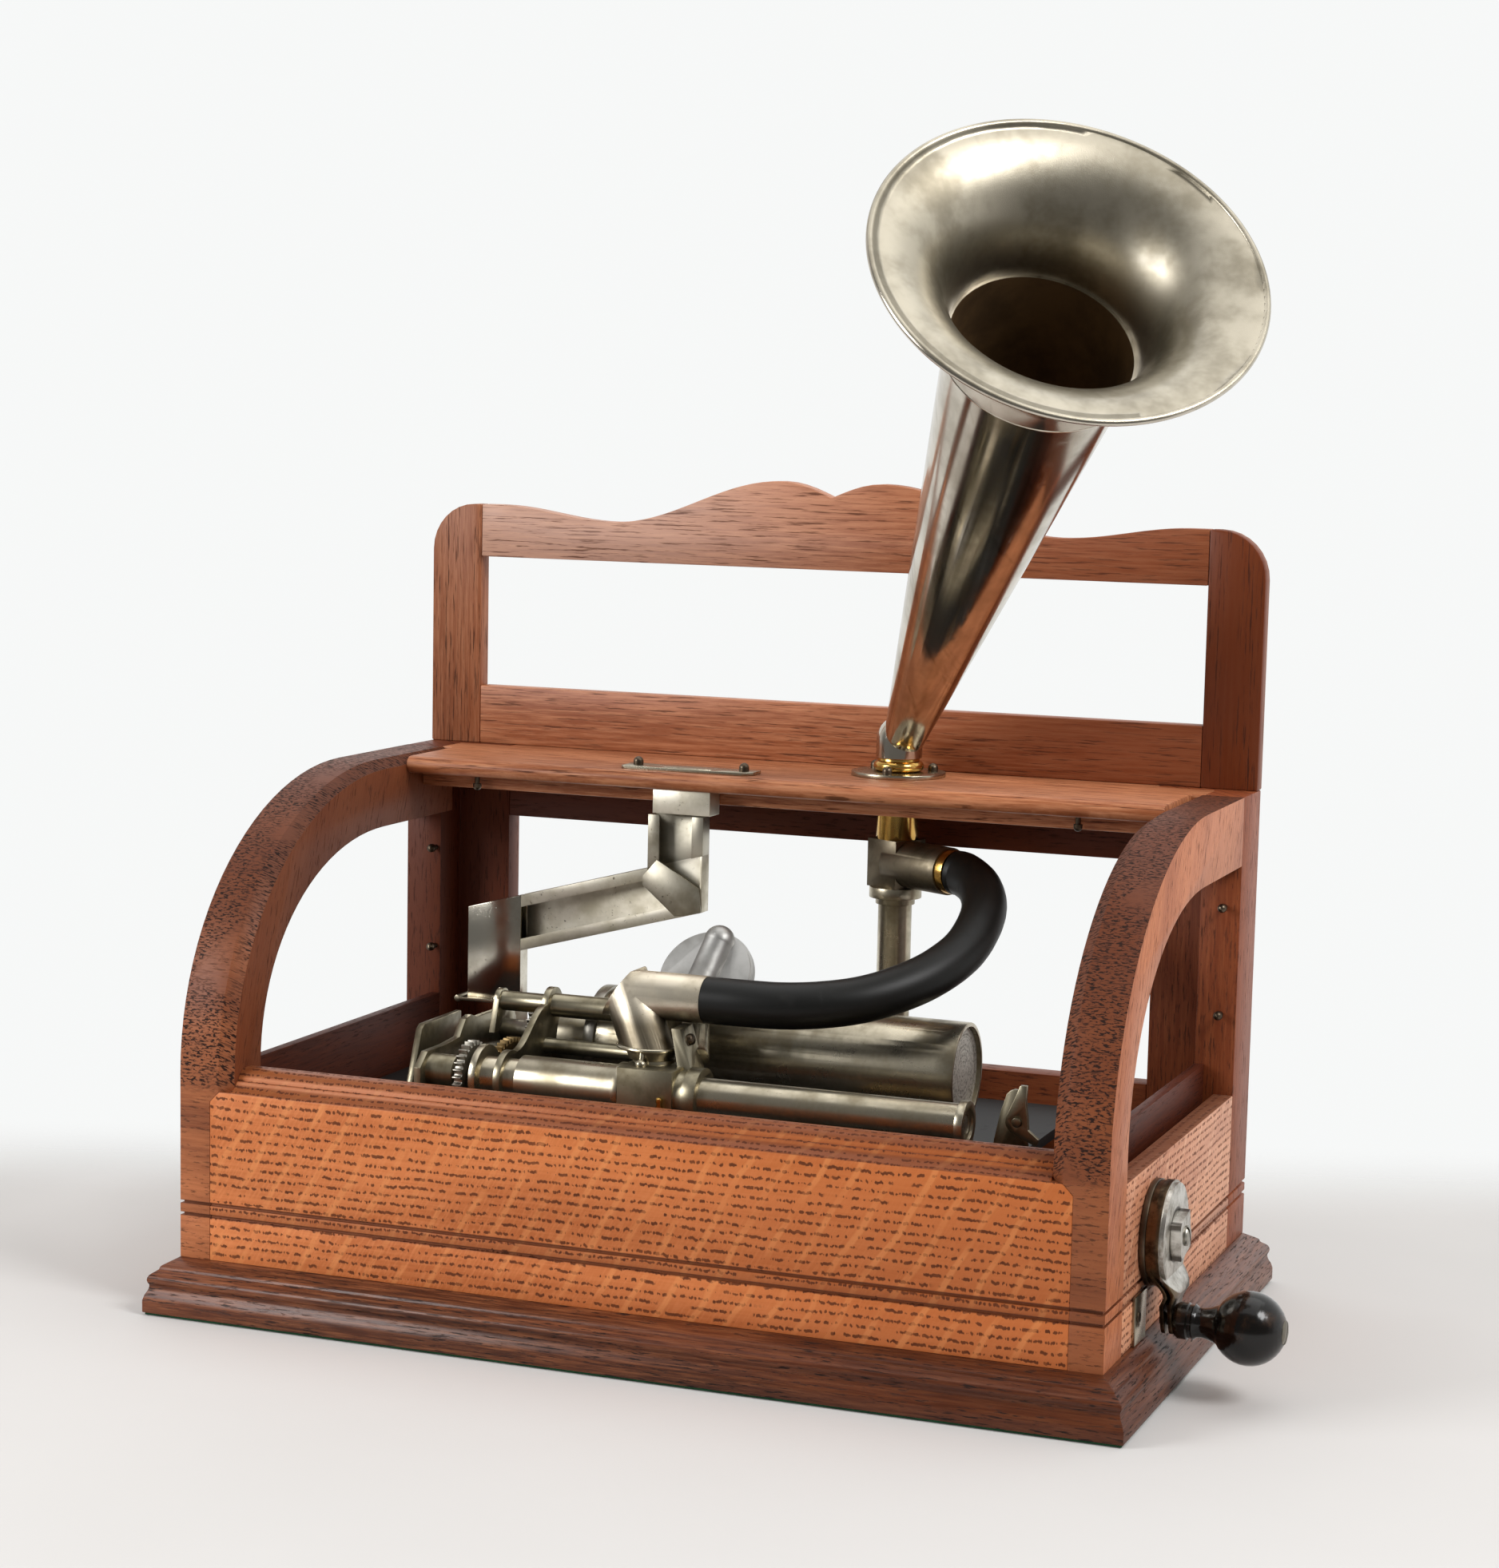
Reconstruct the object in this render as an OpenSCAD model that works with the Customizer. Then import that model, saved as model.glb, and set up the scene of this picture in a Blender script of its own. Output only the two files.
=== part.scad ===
// Coin-operated cylinder phonograph in an oak case with an arched open front.
// Millimetres. Origin at the centre of the underside, X to the right, Y to the back, Z up.

/* [Case] */
// Width of the case body
body_w = 410; // [396:1:450]
// Depth of the case body
body_d = 242; // [236:1:270]
// Height of the body from the base to the top of the shelf
body_h = 203; // [198:1:225]
// Overhang of the base moulding
base_over = 12; // [10:0.1:16]
// Height of the base moulding
base_h = 23.2; // [20:0.1:30]
// Thickness of the felt below the base
felt_t = 1; // [0.5:0.1:3]
// Thickness of the arched posts
arch_t = 24; // [21:0.5:27]
// Width of an arched post's face beside the front panel
post_face = 14.4; // [12:0.1:16]
// Thickness of the rear posts
rear_t = 18; // [15:0.5:20]
// Depth of an arched post from front to back
post_d = 26.5; // [24:0.1:34]
// Height on the post where the arch begins
spring_h = 80.8; // [76:0.1:88]
// Depth of the arch curve
arch_reach = 140.3; // [125:0.1:150]
// Thickness of the arch at its crown
crown_t = 30.5; // [24:0.5:36]
// Bevel on the arch's inner edge, across the post
bevel_w = 5.4; // [3:0.1:6]
// Bevel on the arch's inner edge, depth
bevel_d = 4.5; // [2:0.1:6]
// Height of the front panel at its face
front_h = 73.8; // [66:0.1:78]
// Rise of the moulded sill above the face
sill_rise = 9; // [6:0.1:12]
// Run of the moulded sill
sill_run = 13; // [10:0.1:16]
// Thickness of the lip behind the sill
lip_t = 5; // [3:0.1:6]
// Height of the bead above the base
bead_h = 21.8; // [15:0.1:30]
// Height of the side panels
side_h = 69.8; // [62:0.1:76]
// Thickness of the side panels
side_t = 13.5; // [11:0.1:14.5]
// Height of the inner glass stops
stop_h = 82.8; // [78:0.1:88]
// Depth of the rear posts from front to back
rear_d = 32.5; // [28:0.5:36]
// Thickness of the back frame
back_t = 12; // [9:0.5:14]
// Width of a back stile beside the post
stile_w = 26.5; // [20:0.5:34]
// Height of the back lower rail
back_low_h = 66.8; // [60:0.1:74]
// Depth of the back top rail
back_top_h = 26; // [20:0.5:34]
// Thickness of the shelf
shelf_t = 8; // [6:0.5:12]
// Depth of the shelf from front to back
shelf_d = 81; // [78:0.5:88]

/* [Header] */
// Thickness of the header
header_t = 9; // [7:0.5:12]
// Width of a header stile
header_stile = 26; // [20:0.5:34]
// Height of the header bottom rail
header_low = 28; // [20:0.5:36]
// Height of the header window
header_gap = 62.5; // [50:0.5:80]
// Height of the header at the ends
header_end = 115.6; // [108:0.1:125]
// Height of the header at the two dips
header_dip = 109.3; // [104:0.1:112]
// Height of the header at the two peaks
header_peak = 131; // [126:0.1:140]
// Height of the header at the centre notch
header_notch = 124; // [118:0.1:125]

/* [Works] */
// Height of the bed plate's top above the base
bed_h = 55; // [54.5:0.1:58]
// Thickness of the bed plate
bed_t = 4.6; // [3.6:0.2:4.8]
// Diameter of the mandrel at its free end
mandrel_d = 44.4; // [42:0.2:45]
// Growth of the mandrel diameter to its left end
mandrel_taper = 2.4; // [1:0.1:3]
// Length of the mandrel
mandrel_len = 166; // [150:1:170]
// Diameter of the mandrel stop flange
mandrel_flange_d = 49; // [47:0.5:50]
// Diameter of the feed tube
feed_tube_d = 17; // [15:0.2:17.4]
// Diameter of the mandrel and winding shafts
shaft_d = 10; // [8:0.2:10]
// Diameter of the carriage sleeve
sleeve_d = 21; // [20:0.2:23]
// Length of the carriage sleeve
sleeve_len = 48.5; // [40:0.5:52]
// Diameter of the carriage's upper tube
guide_d = 10.4; // [8:0.2:11]
// Diameter of the reproducer disc
disc_d = 43; // [36:0.5:43]
// Radius of the spring barrel
barrel_r = 20; // [17:0.5:21]

/* [Sound] */
// Outer diameter of the hose
hose_d = 20; // [16:0.5:21]
// Diameter of the horn flange
flange_d = 43; // [38:0.5:50]
// Length of the horn cone
cone_len = 262; // [230:1:280]
// Radius of the horn cone at its throat
throat_r = 38.4; // [34:0.2:42]
// Radius of the horn rim
rim_r = 77.4; // [70:0.1:84]
// Depth of the horn bell
bell_len = 44.8; // [38:0.1:52]
// Wall of the horn
horn_wall = 1.2; // [1:0.1:2]
// Tilt of the horn from upright
horn_tilt = 48.3; // [35:0.1:50]
// Heading of the horn, from the right
horn_heading = -56.8; // [-75:0.1:-35]

/* [Coin path] */
// Width of the coin channel
chute_w = 27; // [25:0.5:28]
// Depth of the coin channel
chute_d = 8; // [7:0.5:8.5]
// Wall of the coin channel
chute_wall = 1; // [0.8:0.1:1.4]
// Slope of the long coin channel
chute_slope_deg = 15.2; // [12:0.2:16]
// Length of the coin slot
slot_len = 23; // [20:0.5:24]
// Width of the coin slot
slot_w = 2.6; // [2:0.1:4]

/* [Crank] */
// Radius of the ratchet discs
ratchet_r = 22; // [18:0.5:24]
// Distance from the crank shaft to the knob
crank_r = 34; // [32:0.5:40]
// Diameter of the knob's bulb
knob_d = 30; // [24:0.5:32]
// Length of the knob
knob_len = 45; // [40:0.5:52]

/* [Hidden] */
$fn = 64;

// Fits between pieces
run = 0.05;
gap = 0.4;
shaft_room = 1;

// Main levels and half sizes of the case
base_z = felt_t + base_h;
top_z = base_z + body_h;
hw = body_w / 2;
hd = body_d / 2;
inner_w = hw - rear_t;
arch_in = hw - arch_t;
lap_w = hw - post_face;
lap_d = 6;
lap_cut = 4.4;
groove_w = 4.5;
face_top = base_z + front_h;
spring_z = base_z + spring_h;
arch_centre = [-hd + arch_reach, spring_z];
base_hw = hw + base_over;
base_hd = hd + base_over;
bead_z = base_z + bead_h;
front_in = -hd + sill_run + lip_t;
rear_in = hd - rear_d;
back_in = hd - back_t;

// Levels and axes of the works
bed_z = base_z + bed_h;
mandrel_z = bed_z + 30;
feed_y = -hd + 59;
mandrel_y = feed_y + 72;
tooth_m = 1;
mandrel_teeth = 28;
idler_teeth = 58;
feed_teeth = 28;
wheel_teeth = 24;
pinion_teeth = 12;
great_teeth = 44;
governor_teeth = 12;
feed_z = bed_z + 24.3;
crank_y = -hd + 69;
crank_z = base_z + 40.8;
knob_axis = [crank_y - 4, crank_z - crank_r];
mandrel_axis = [mandrel_y, mandrel_z];
feed_axis = [feed_y, feed_z];
crank_axis = [crank_y, crank_z];
idler_axis = meet(feed_axis, pitch(feed_teeth + idler_teeth),
  mandrel_axis, pitch(mandrel_teeth + idler_teeth));
arbor_axis = meet(crank_axis, pitch(great_teeth + pinion_teeth),
  idler_axis, pitch(wheel_teeth + idler_teeth));
governor_dir = -50;
governor_axis = idler_axis + pitch(idler_teeth + governor_teeth) * [cos(governor_dir), sin(governor_dir)];

// Stations of the works along X
plate_t = 3;
end_frame_x = -130;
bearing_x = -116;
lever_x = -104.5;
gear_x = -98;
gear_w = 4;
flange_x = -91;
arm_x = -80;
sleeve_x = -71;
block_x = sleeve_x + sleeve_len + gap;
block_len = 35;
drum_x = -92;
mandrel_x = -60;
mandrel_end = mandrel_x + mandrel_len;
feed_end = 126;
great_x = 52;
barrel_x = 58;
barrel_len = 64;
motor_x = [-108, -36, 43, 127];
motor_y = [feed_y + 20, feed_y + 20, crank_y - 26, crank_y - 26];
motor_w = [62, 62, 66, 44];
pin_run = 2.5;
arbor_r = 3;
knob_hole_r = 2.5;

// Carriage points in the Y and Z plane
guide_axis = [feed_y + 45, feed_z + 24.5];
low_rod_axis = [feed_y + 36, feed_z + 8];
elbow_axis = [feed_y + 17, feed_z + 38.5];
disc_pos = [-8.6, feed_y + 54, feed_z + 41.5];
disc_tilt = 53;
cup_pos = [-14.4, feed_y + 7, feed_z + 13.4];

// Sound post and horn
post_x = 44.6;
post_y = hd - 32;
tee_z = top_z - 40;
tee_turn = -28;
tee_half = 9.3;
tee_h = 11;
ferrule_out = 4.5;
tee_reach = 35;
ferrule_in = 8;
socket_r = 9.5;
horn_z = top_z + 16.6;
horn_foot_r = 10.5;
horn_neck_r = 9.2;
horn_shift = 2;
rim_bead = 1.5;
hose_r = hose_d / 2;
hose_end_x = 6.5;
hose_start = [post_x, post_y, tee_z] + (tee_reach + ferrule_out) * [cos(tee_turn), sin(tee_turn), 0];
// Way of the hose: X, share of the depth from the elbow to the post, height below the tee
hose_way = [
  [84.5, 0.843, 0.5], [94, 0.769, 4], [101, 0.664, 10], [103, 0.552, 17.5], [101, 0.433, 25.7],
  [94, 0.306, 32.8], [84, 0.2, 38], [71, 0.112, 42], [56, 0.052, 44.2], [40, 0.015, 45.2]
];
hose_points = concat([hose_start],
  [for (p = hose_way) [p.x, elbow_axis.x + p.y * (post_y - elbow_axis.x), tee_z - p.z]],
  [[24, elbow_axis.x, elbow_axis.y], [hose_end_x, elbow_axis.x, elbow_axis.y]]);
hose_steps = 5;

// Coin channel places
chute_y = hd - 71;
half_d = chute_d / 2;
chute_lip = 5.5;
entry_x = -43.7;
chute_x = entry_x - 3.4;
chute_left = chute_x - chute_w / 2;
chute_right = chute_x + chute_w / 2;
lower_right = -124;
lower_left = lower_right - chute_w;
slope_h = 26;
upper_z0 = top_z - 63.5;
upper_z1 = top_z - 20;
lower_z0 = bed_z + 36;
pin_y = chute_y - 14;
pin_z = bed_z + 14;
pin_r = 2;
coin_plate_t = 1.5;

// Helpers
function pitch(teeth) = teeth * tooth_m / 2;
// Crossing of two circles, on the right of the way from a to b
function meet(a, ra, b, rb) =
  let (d = norm(b - a), u = (b - a) / d, k = (ra * ra - rb * rb + d * d) / (2 * d), h = sqrt(ra * ra - k * k))
  a + k * u + h * [u.y, -u.x];
function turn_to(a, b) = atan2(b.y - a.y, b.x - a.x);
// Turn of a gear so that its gap faces a tooth of the gear it meshes with
function mesh(turn_a, teeth_a, dir, teeth_b) =
  dir + 180 - (0.5 - (dir - turn_a) * teeth_a / 360) * 360 / teeth_b;
function arc(c, r, a0, a1, n) =
  [for (i = [0:n]) let (a = a0 + (a1 - a0) * i / n) c + r * [cos(a), sin(a)]];
function ease(a, b, t) = a + (b - a) * (1 - cos(180 * t)) / 2;

idler_turn = 0;
mandrel_turn = mesh(idler_turn, idler_teeth, turn_to(idler_axis, mandrel_axis), mandrel_teeth);
feed_turn = mesh(idler_turn, idler_teeth, turn_to(idler_axis, feed_axis), feed_teeth);
wheel_turn = mesh(idler_turn, idler_teeth, turn_to(idler_axis, arbor_axis), wheel_teeth);
governor_turn = mesh(idler_turn, idler_teeth, governor_dir, governor_teeth);
great_turn = mesh(wheel_turn, pinion_teeth, turn_to(arbor_axis, crank_axis), great_teeth);

// Draws an outline of Y and Z points as a plate along X
module plate_x(x, t) { translate([x, 0, 0]) rotate([90, 0, 90]) linear_extrude(t) children(); }
// A rod along X at a place in the Y and Z plane
module rod(x, len, at, r) { translate([x, at.x, at.y]) rotate([0, 90, 0]) cylinder(h = len, r = r); }
// A tube or cone from one point to another
module reach(a, b, r1, r2) {
  v = b - a;
  translate(a) rotate([0, acos(v.z / norm(v)), atan2(v.y, v.x)]) cylinder(h = norm(v), r1 = r1, r2 = r2);
}
module box(lo, hi) { translate(lo) cube(hi - lo); }
// Teeth with straight flanks and wide backlash
module gear_outline(teeth, turn) {
  r = pitch(teeth);
  step = 360 / teeth;
  polygon([for (i = [0:teeth - 1], k = [[-0.27, -1.2], [-0.11, 0.8], [0.11, 0.8], [0.27, -1.2]])
    (r + k.y * tooth_m) * [cos(turn + (i + k.x) * step), sin(turn + (i + k.x) * step)]]);
}
module gear(x, w, at, teeth, turn) { plate_x(x, w) translate(at) gear_outline(teeth, turn); }
// Round-head screw standing on a surface, head up
module round_screw(r) {
  cylinder(h = 0.6 * r, r = r);
  translate([0, 0, 0.6 * r]) intersection() {
    scale(r) sphere(r = 1);
    translate([0, 0, r / 2]) cube([2 * r, 2 * r, r], center = true);
  }
}

// Case
module felt_pad() {
  inset = 1;
  color("darkgreen") box([-base_hw + inset, -base_hd + inset, 0], [base_hw - inset, base_hd - inset, felt_t]);
}
// Moulded edge from the bottom up: upright band, notch, bead, cove, sloping ledge
base_full = 23.2;
function base_edge(half) =
  let (k = base_h / base_full, pts = concat(
    [[half, 0], [half, 5.3], [half - 0.7, 7.6], [half - 1.7, 9.4], [half - 2.1, 10.6]],
    arc([half - 4.4, 14.1], 3, -45, 60, 5), [[half - 4.3, 17.6], [half - 5.2, 18.3], [half - 5.6, 19.6]],
    [[half - base_over, base_full]]))
  [for (p = pts) [p.x, felt_t + p.y * k]];
module base_silhouette(half) {
  side = base_edge(half);
  polygon(concat(side, [for (i = [len(side) - 1:-1:0]) [-side[i].x, side[i].y]]));
}
module base_moulding() {
  color("saddlebrown") intersection() {
    translate([0, base_hd + 1, 0]) rotate([90, 0, 0])
      linear_extrude(2 * base_hd + 2) base_silhouette(base_hw);
    plate_x(-base_hw - 1, 2 * base_hw + 2) base_silhouette(base_hd);
  }
}
// Two shallow grooves round the body that leave a bead between them
module bead_grooves() {
  for (side = [-1, 1]) translate([0, 0, bead_z + 2.6 * side]) difference() {
    cube([body_w + 2, body_d + 2, 1.3], center = true);
    cube([body_w - 2.4, body_d - 2.4, 2], center = true);
  }
}
module front_outline() {
  polygon(concat([[front_in, base_z], [-hd, base_z], [-hd, face_top], [-hd + 1.2, face_top + 0.8]],
    arc([-hd + 1.2, face_top + 5.3], 4.5, -75, -12, 4),
    arc([-hd + sill_run, face_top + sill_rise - 6], 6, 170, 95, 5),
    [[front_in, face_top + sill_rise]]));
}
// Lap of the front panel over the right post, its top corner cut
module panel_lap() {
  translate([0, -hd + lap_d, 0]) rotate([90, 0, 0]) linear_extrude(lap_d) polygon([[arch_in, base_z],
    [lap_w, base_z], [lap_w, face_top - lap_cut], [lap_w - lap_cut, face_top], [arch_in, face_top]]);
}
module front_panel() {
  color("peru") difference() {
    union() {
      plate_x(-arch_in, 2 * arch_in) front_outline();
      for (side = [0, 1]) mirror([side, 0, 0]) panel_lap();
    }
    bead_grooves();
  }
}
function arch_curve(a, b, n) = [for (i = [0:24]) let (t = 90 * i / 24)
  arch_centre + [-a * pow(cos(t), 2 / n), b * pow(sin(t), 2 / n)]];
// Outer line of the arch, drawn in towards its centre
function arch_line(inset) = arch_curve(arch_reach - inset, (top_z - spring_z) * (1 - inset / arch_reach), 2);
function back_line() = arch_curve(arch_reach - post_d, top_z - spring_z - crown_t, 2.1);
function backwards(list) = [for (i = [len(list) - 1:-1:0]) list[i]];
module arch_outline(inset) {
  outer = arch_line(inset);
  polygon(concat([[-hd + inset, base_z]], outer,
    [[rear_in, outer[len(outer) - 1].y], [rear_in, top_z - crown_t]], backwards(back_line()),
    [[-hd + post_d, base_z]]));
}
// Bevelled inner edge: it follows the curve, the post below and the crown behind
module arch_bevel() {
  band = 8;
  grow = arch_reach / (arch_reach - bevel_d);
  fall = (top_z - spring_z) * bevel_d / arch_reach;
  translate([arch_in, arch_centre.x, arch_centre.y]) rotate([90, 0, 90]) linear_extrude(bevel_w, scale = grow)
    translate(-arch_centre) polygon(concat(arch_line(bevel_d), backwards(arch_line(bevel_d + band))));
  translate([0, 0, base_z]) linear_extrude(spring_h) polygon([[arch_in, -hd + bevel_d],
    [arch_in + bevel_w, -hd], [arch_in + bevel_w, -hd + band], [arch_in, -hd + band]]);
  translate([0, rear_in, 0]) rotate([90, 0, 0]) linear_extrude(rear_in - arch_centre.x) polygon([
    [arch_in, top_z - fall], [arch_in + bevel_w, top_z], [arch_in + bevel_w, top_z - band],
    [arch_in, top_z - band]]);
}
module arch() {
  difference() {
    union() {
      plate_x(arch_in + bevel_w, arch_t - bevel_w) arch_outline(0);
      plate_x(arch_in, bevel_w) arch_outline(bevel_d);
      arch_bevel();
    }
    panel_lap();
    bead_grooves();
  }
}
module left_arch() { color("sienna") mirror([1, 0, 0]) arch(); }
module right_arch() { color("sienna") arch(); }
// Side panel with a groove in its top edge, and in the right one a hole for the winding shaft
module side_panel() {
  difference() {
    box([hw - side_t, -hd + post_d, base_z], [hw, rear_in, base_z + side_h]);
    box([hw - side_t - 1, -hd + post_d - 1, base_z + side_h - 12],
      [hw - side_t + groove_w, rear_in + 1, base_z + side_h + 1]);
    bead_grooves();
  }
}
module left_side_panel() { color("peru") mirror([1, 0, 0]) side_panel(); }
module right_side_panel() {
  color("peru") difference() {
    side_panel();
    rod(hw - side_t - 1, side_t + 2, crank_axis, shaft_d / 2 + shaft_room);
  }
}
module glass_stops() {
  color("saddlebrown") for (side = [0, 1]) mirror([side, 0, 0]) difference() {
    box([inner_w, -hd + post_d + gap, base_z + 30], [hw - side_t, rear_in, base_z + stop_h]);
    rod(inner_w - 1, rear_t, crank_axis, shaft_d / 2 + shaft_room);
  }
}
// Corner post with the back stile in one piece
module rear_post() {
  difference() {
    translate([0, 0, base_z]) linear_extrude(body_h) polygon([
      [hw, hd], [inner_w - stile_w, hd], [inner_w - stile_w, back_in], [inner_w, back_in], [inner_w, rear_in],
      [hw, rear_in]]);
    bead_grooves();
  }
}
module left_rear_post() { color("sienna") mirror([1, 0, 0]) rear_post(); }
module right_rear_post() { color("sienna") rear_post(); }
module back_lower_rail() {
  half = inner_w - stile_w;
  color("sienna") box([-half, back_in, base_z], [half, hd, base_z + back_low_h]);
}
module back_top_rail() {
  half = inner_w - stile_w;
  color("sienna") box([-half, back_in, top_z - shelf_t - back_top_h], [half, hd, top_z - shelf_t]);
}
// Shelf with a rounded front edge and a cleat below it
module shelf() {
  front = hd - shelf_d;
  r = shelf_t / 2;
  color("sienna") difference() {
    union() {
      plate_x(-arch_in, 2 * arch_in) {
        translate([front + r, top_z - shelf_t]) square([rear_in - front - r, shelf_t]);
        translate([front + r, top_z - r]) circle(r = r);
      }
      box([-inner_w + stile_w, rear_in, top_z - shelf_t], [inner_w - stile_w, hd, top_z]);
      box([-inner_w, rear_in, top_z - shelf_t], [inner_w, back_in, top_z]);
      box([-arch_in, chute_y + 7, top_z - shelf_t - 7], [arch_in, chute_y + 18, top_z - shelf_t]);
    }
    translate([post_x, post_y, top_z - 60]) cylinder(h = 80, r = socket_r);
    coin_slot();
  }
}
// Way for the coin through the plate and the shelf
module coin_slot() {
  box([entry_x - slot_len / 2, chute_y - slot_w / 2, top_z - shelf_t - 1],
    [entry_x + slot_len / 2, chute_y + slot_w / 2, top_z + 3]);
}

// Header
header_front = hd + 1.5 - header_t;
function header_top(x) =
  x < 25 ? header_notch + (header_peak - header_notch) * sin(90 * x / 25) :
  x < 110 ? ease(header_peak, header_dip, (x - 25) / 85) :
  x < 170 ? ease(header_dip, header_end, (x - 110) / 60) : header_end;
module header_plate() {
  translate([0, header_front + header_t, top_z]) rotate([90, 0, 0]) linear_extrude(header_t) children();
}
header_in = hw - header_stile;
module header_stiles() {
  corner = 22;
  color("sienna") for (side = [0, 1]) mirror([side, 0, 0]) header_plate() polygon(concat(
    [[header_in, 0], [hw, 0]], arc([hw - corner, header_end - corner], corner, 0, 90, 8),
    [[header_in, header_end]]));
}
module header_top_rail() {
  half = [for (i = [0:36]) let (x = header_in * i / 36) [x, header_top(x)]];
  color("sienna") header_plate() polygon(concat(
    [[-header_in, header_low + header_gap], [header_in, header_low + header_gap]],
    [for (i = [36:-1:1]) half[i]], [for (p = half) [-p.x, p.y]]));
}
module header_bottom_rail() {
  color("sienna") header_plate() translate([-header_in, 0]) square([2 * header_in, header_low]);
}
// Round-head screws left from the missing glass
module case_screws() {
  color("dimgray") {
    for (x = [-150, -52, 140]) translate([x, hd - shelf_d + 12, top_z - shelf_t]) rotate([180, 0, 0])
      post_screw();
    for (x = [-inner_w - 2.5, inner_w + 11], z = [top_z - 97, top_z - 49]) translate([x, rear_in, z])
      rotate([90, 0, 0]) post_screw();
  }
}
module post_screw() {
  cylinder(h = 4, r = 1.2);
  translate([0, 0, 4]) round_screw(2);
}

// Bed and fixed works
module bed_bearers() {
  color("saddlebrown") for (side = [0, 1]) mirror([side, 0, 0]) difference() {
    box([inner_w - 20, -hd + post_d, bed_z - bed_t - 20], [inner_w, rear_in, bed_z - bed_t]);
    rod(inner_w - 21, 22, crank_axis, shaft_d / 2 + shaft_room);
  }
}
module bed_plate() {
  color("dimgray") difference() {
    box([-inner_w + 6, front_in + 5, bed_z - bed_t], [inner_w - 6, rear_in + 11, bed_z]);
    box([gear_x - 3, idler_axis.x - pitch(idler_teeth) - 5, bed_z - bed_t - 1],
      [gear_x + gear_w + 3, idler_axis.x + pitch(idler_teeth) + 5, bed_z + 1]);
    box([great_x - 4, crank_y - barrel_r - 6, bed_z - bed_t - 1],
      [barrel_x + barrel_len + 2, crank_y + barrel_r + 6, bed_z + 1]);
    box([feed_end + 8, crank_y + 24, bed_z - bed_t - 1], [inner_w, hd, bed_z + 1]);
  }
}
// Slanted end plate that guards the gear train
module end_frame() {
  color("gray") plate_x(end_frame_x - plate_t / 2, plate_t) polygon([
    [feed_y + 2, bed_z], [feed_y + 17, bed_z + 38], [feed_y + 20, bed_z + 40], [feed_y + 56, bed_z + 40],
    [feed_y + 56, bed_z + 31], [feed_y + 45, bed_z + 26], [feed_y + 32, bed_z + 14], [feed_y + 26, bed_z]]);
}
// Plate that carries the mandrel shaft, the idler and the feed screw in a long boss
module bearing_plate() {
  color("gray") difference() {
    union() {
      plate_x(bearing_x - plate_t / 2, plate_t) polygon([
        [feed_y - 12, bed_z], [feed_y - 12, feed_z + 3], [feed_y - 5, feed_z + 9], [feed_y + 12, feed_z + 9],
        [feed_y + 26, feed_z + 10], [feed_y + 32, feed_z + 17], [feed_y + 38, feed_z + 18],
        [feed_y + 44, feed_z + 16],
        [mandrel_y - 8, mandrel_z + 10], [mandrel_y + 8, mandrel_z + 10], [mandrel_y + 12, mandrel_z + 4],
        [mandrel_y + 12, bed_z]]);
      rod(bearing_x, 14, feed_axis, 7.5);
    }
    rod(bearing_x - 5, 30, feed_axis, shaft_d / 2 + run);
    rod(bearing_x - 5, 10, mandrel_axis, shaft_d / 2 + run);
    rod(bearing_x - 5, 10, idler_axis, pin_run + run);
  }
}
// Drum on a pedestal that carries the mandrel shaft
module bearing_drum() {
  drum_len = mandrel_x - 8 - drum_x;
  color("gray") difference() {
    union() {
      rod(drum_x, drum_len, mandrel_axis, 16);
      box([drum_x + 4, mandrel_y - 11, bed_z], [drum_x + drum_len - 4, mandrel_y + 11, mandrel_z]);
    }
    rod(drum_x - 1, drum_len + 2, mandrel_axis, shaft_d / 2 + run);
  }
}
// Tube the carriage rides on, slotted at the back, with a flange and foot at its left end
module feed_tube() {
  color("lightgray") difference() {
    union() {
      rod(flange_x, feed_end - flange_x, feed_axis, feed_tube_d / 2);
      rod(flange_x, 3, feed_axis, 13.5);
      box([flange_x, feed_y - 8, bed_z], [flange_x + 3, feed_y + 8, feed_z]);
    }
    rod(flange_x - 1, feed_end - flange_x + 2, feed_axis, 6.5);
    box([sleeve_x + 5, feed_y, feed_z - 2.5], [feed_end - 8, feed_y + feed_tube_d, feed_z + 2.5]);
  }
}
// Ring and foot at the right end of the feed tube, with the feed screw's bearing
module feed_tube_end() {
  color("silver") difference() {
    union() {
      rod(feed_end, 3.5, feed_axis, 10);
      box([feed_end, feed_y - 7, bed_z], [feed_end + 3.5, feed_y + 7, feed_z]);
    }
    rod(feed_end - 1, 6, feed_axis, 4 + run);
    rod(feed_end + 2.5, 2, feed_axis, 6.5);
  }
}
// Plates below the bed that carry the spring barrel, the centre arbor and the governor
module motor_frame() {
  top = bed_z - bed_t;
  low = base_z + 6;
  color("darkgray") difference() {
    for (i = [0:len(motor_x) - 1]) plate_x(motor_x[i], plate_t)
      translate([motor_y[i], low]) square([motor_w[i], top - low]);
    rod(motor_x[2] - 1, motor_x[3] - motor_x[2] + 6, crank_axis, shaft_d / 2 + run);
    rod(motor_x[0] - 1, motor_x[2] - motor_x[0] + 9, arbor_axis, arbor_r + run);
    rod(motor_x[0] - 1, motor_x[1] - motor_x[0] + 8, governor_axis, pin_run + run);
  }
}
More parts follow.
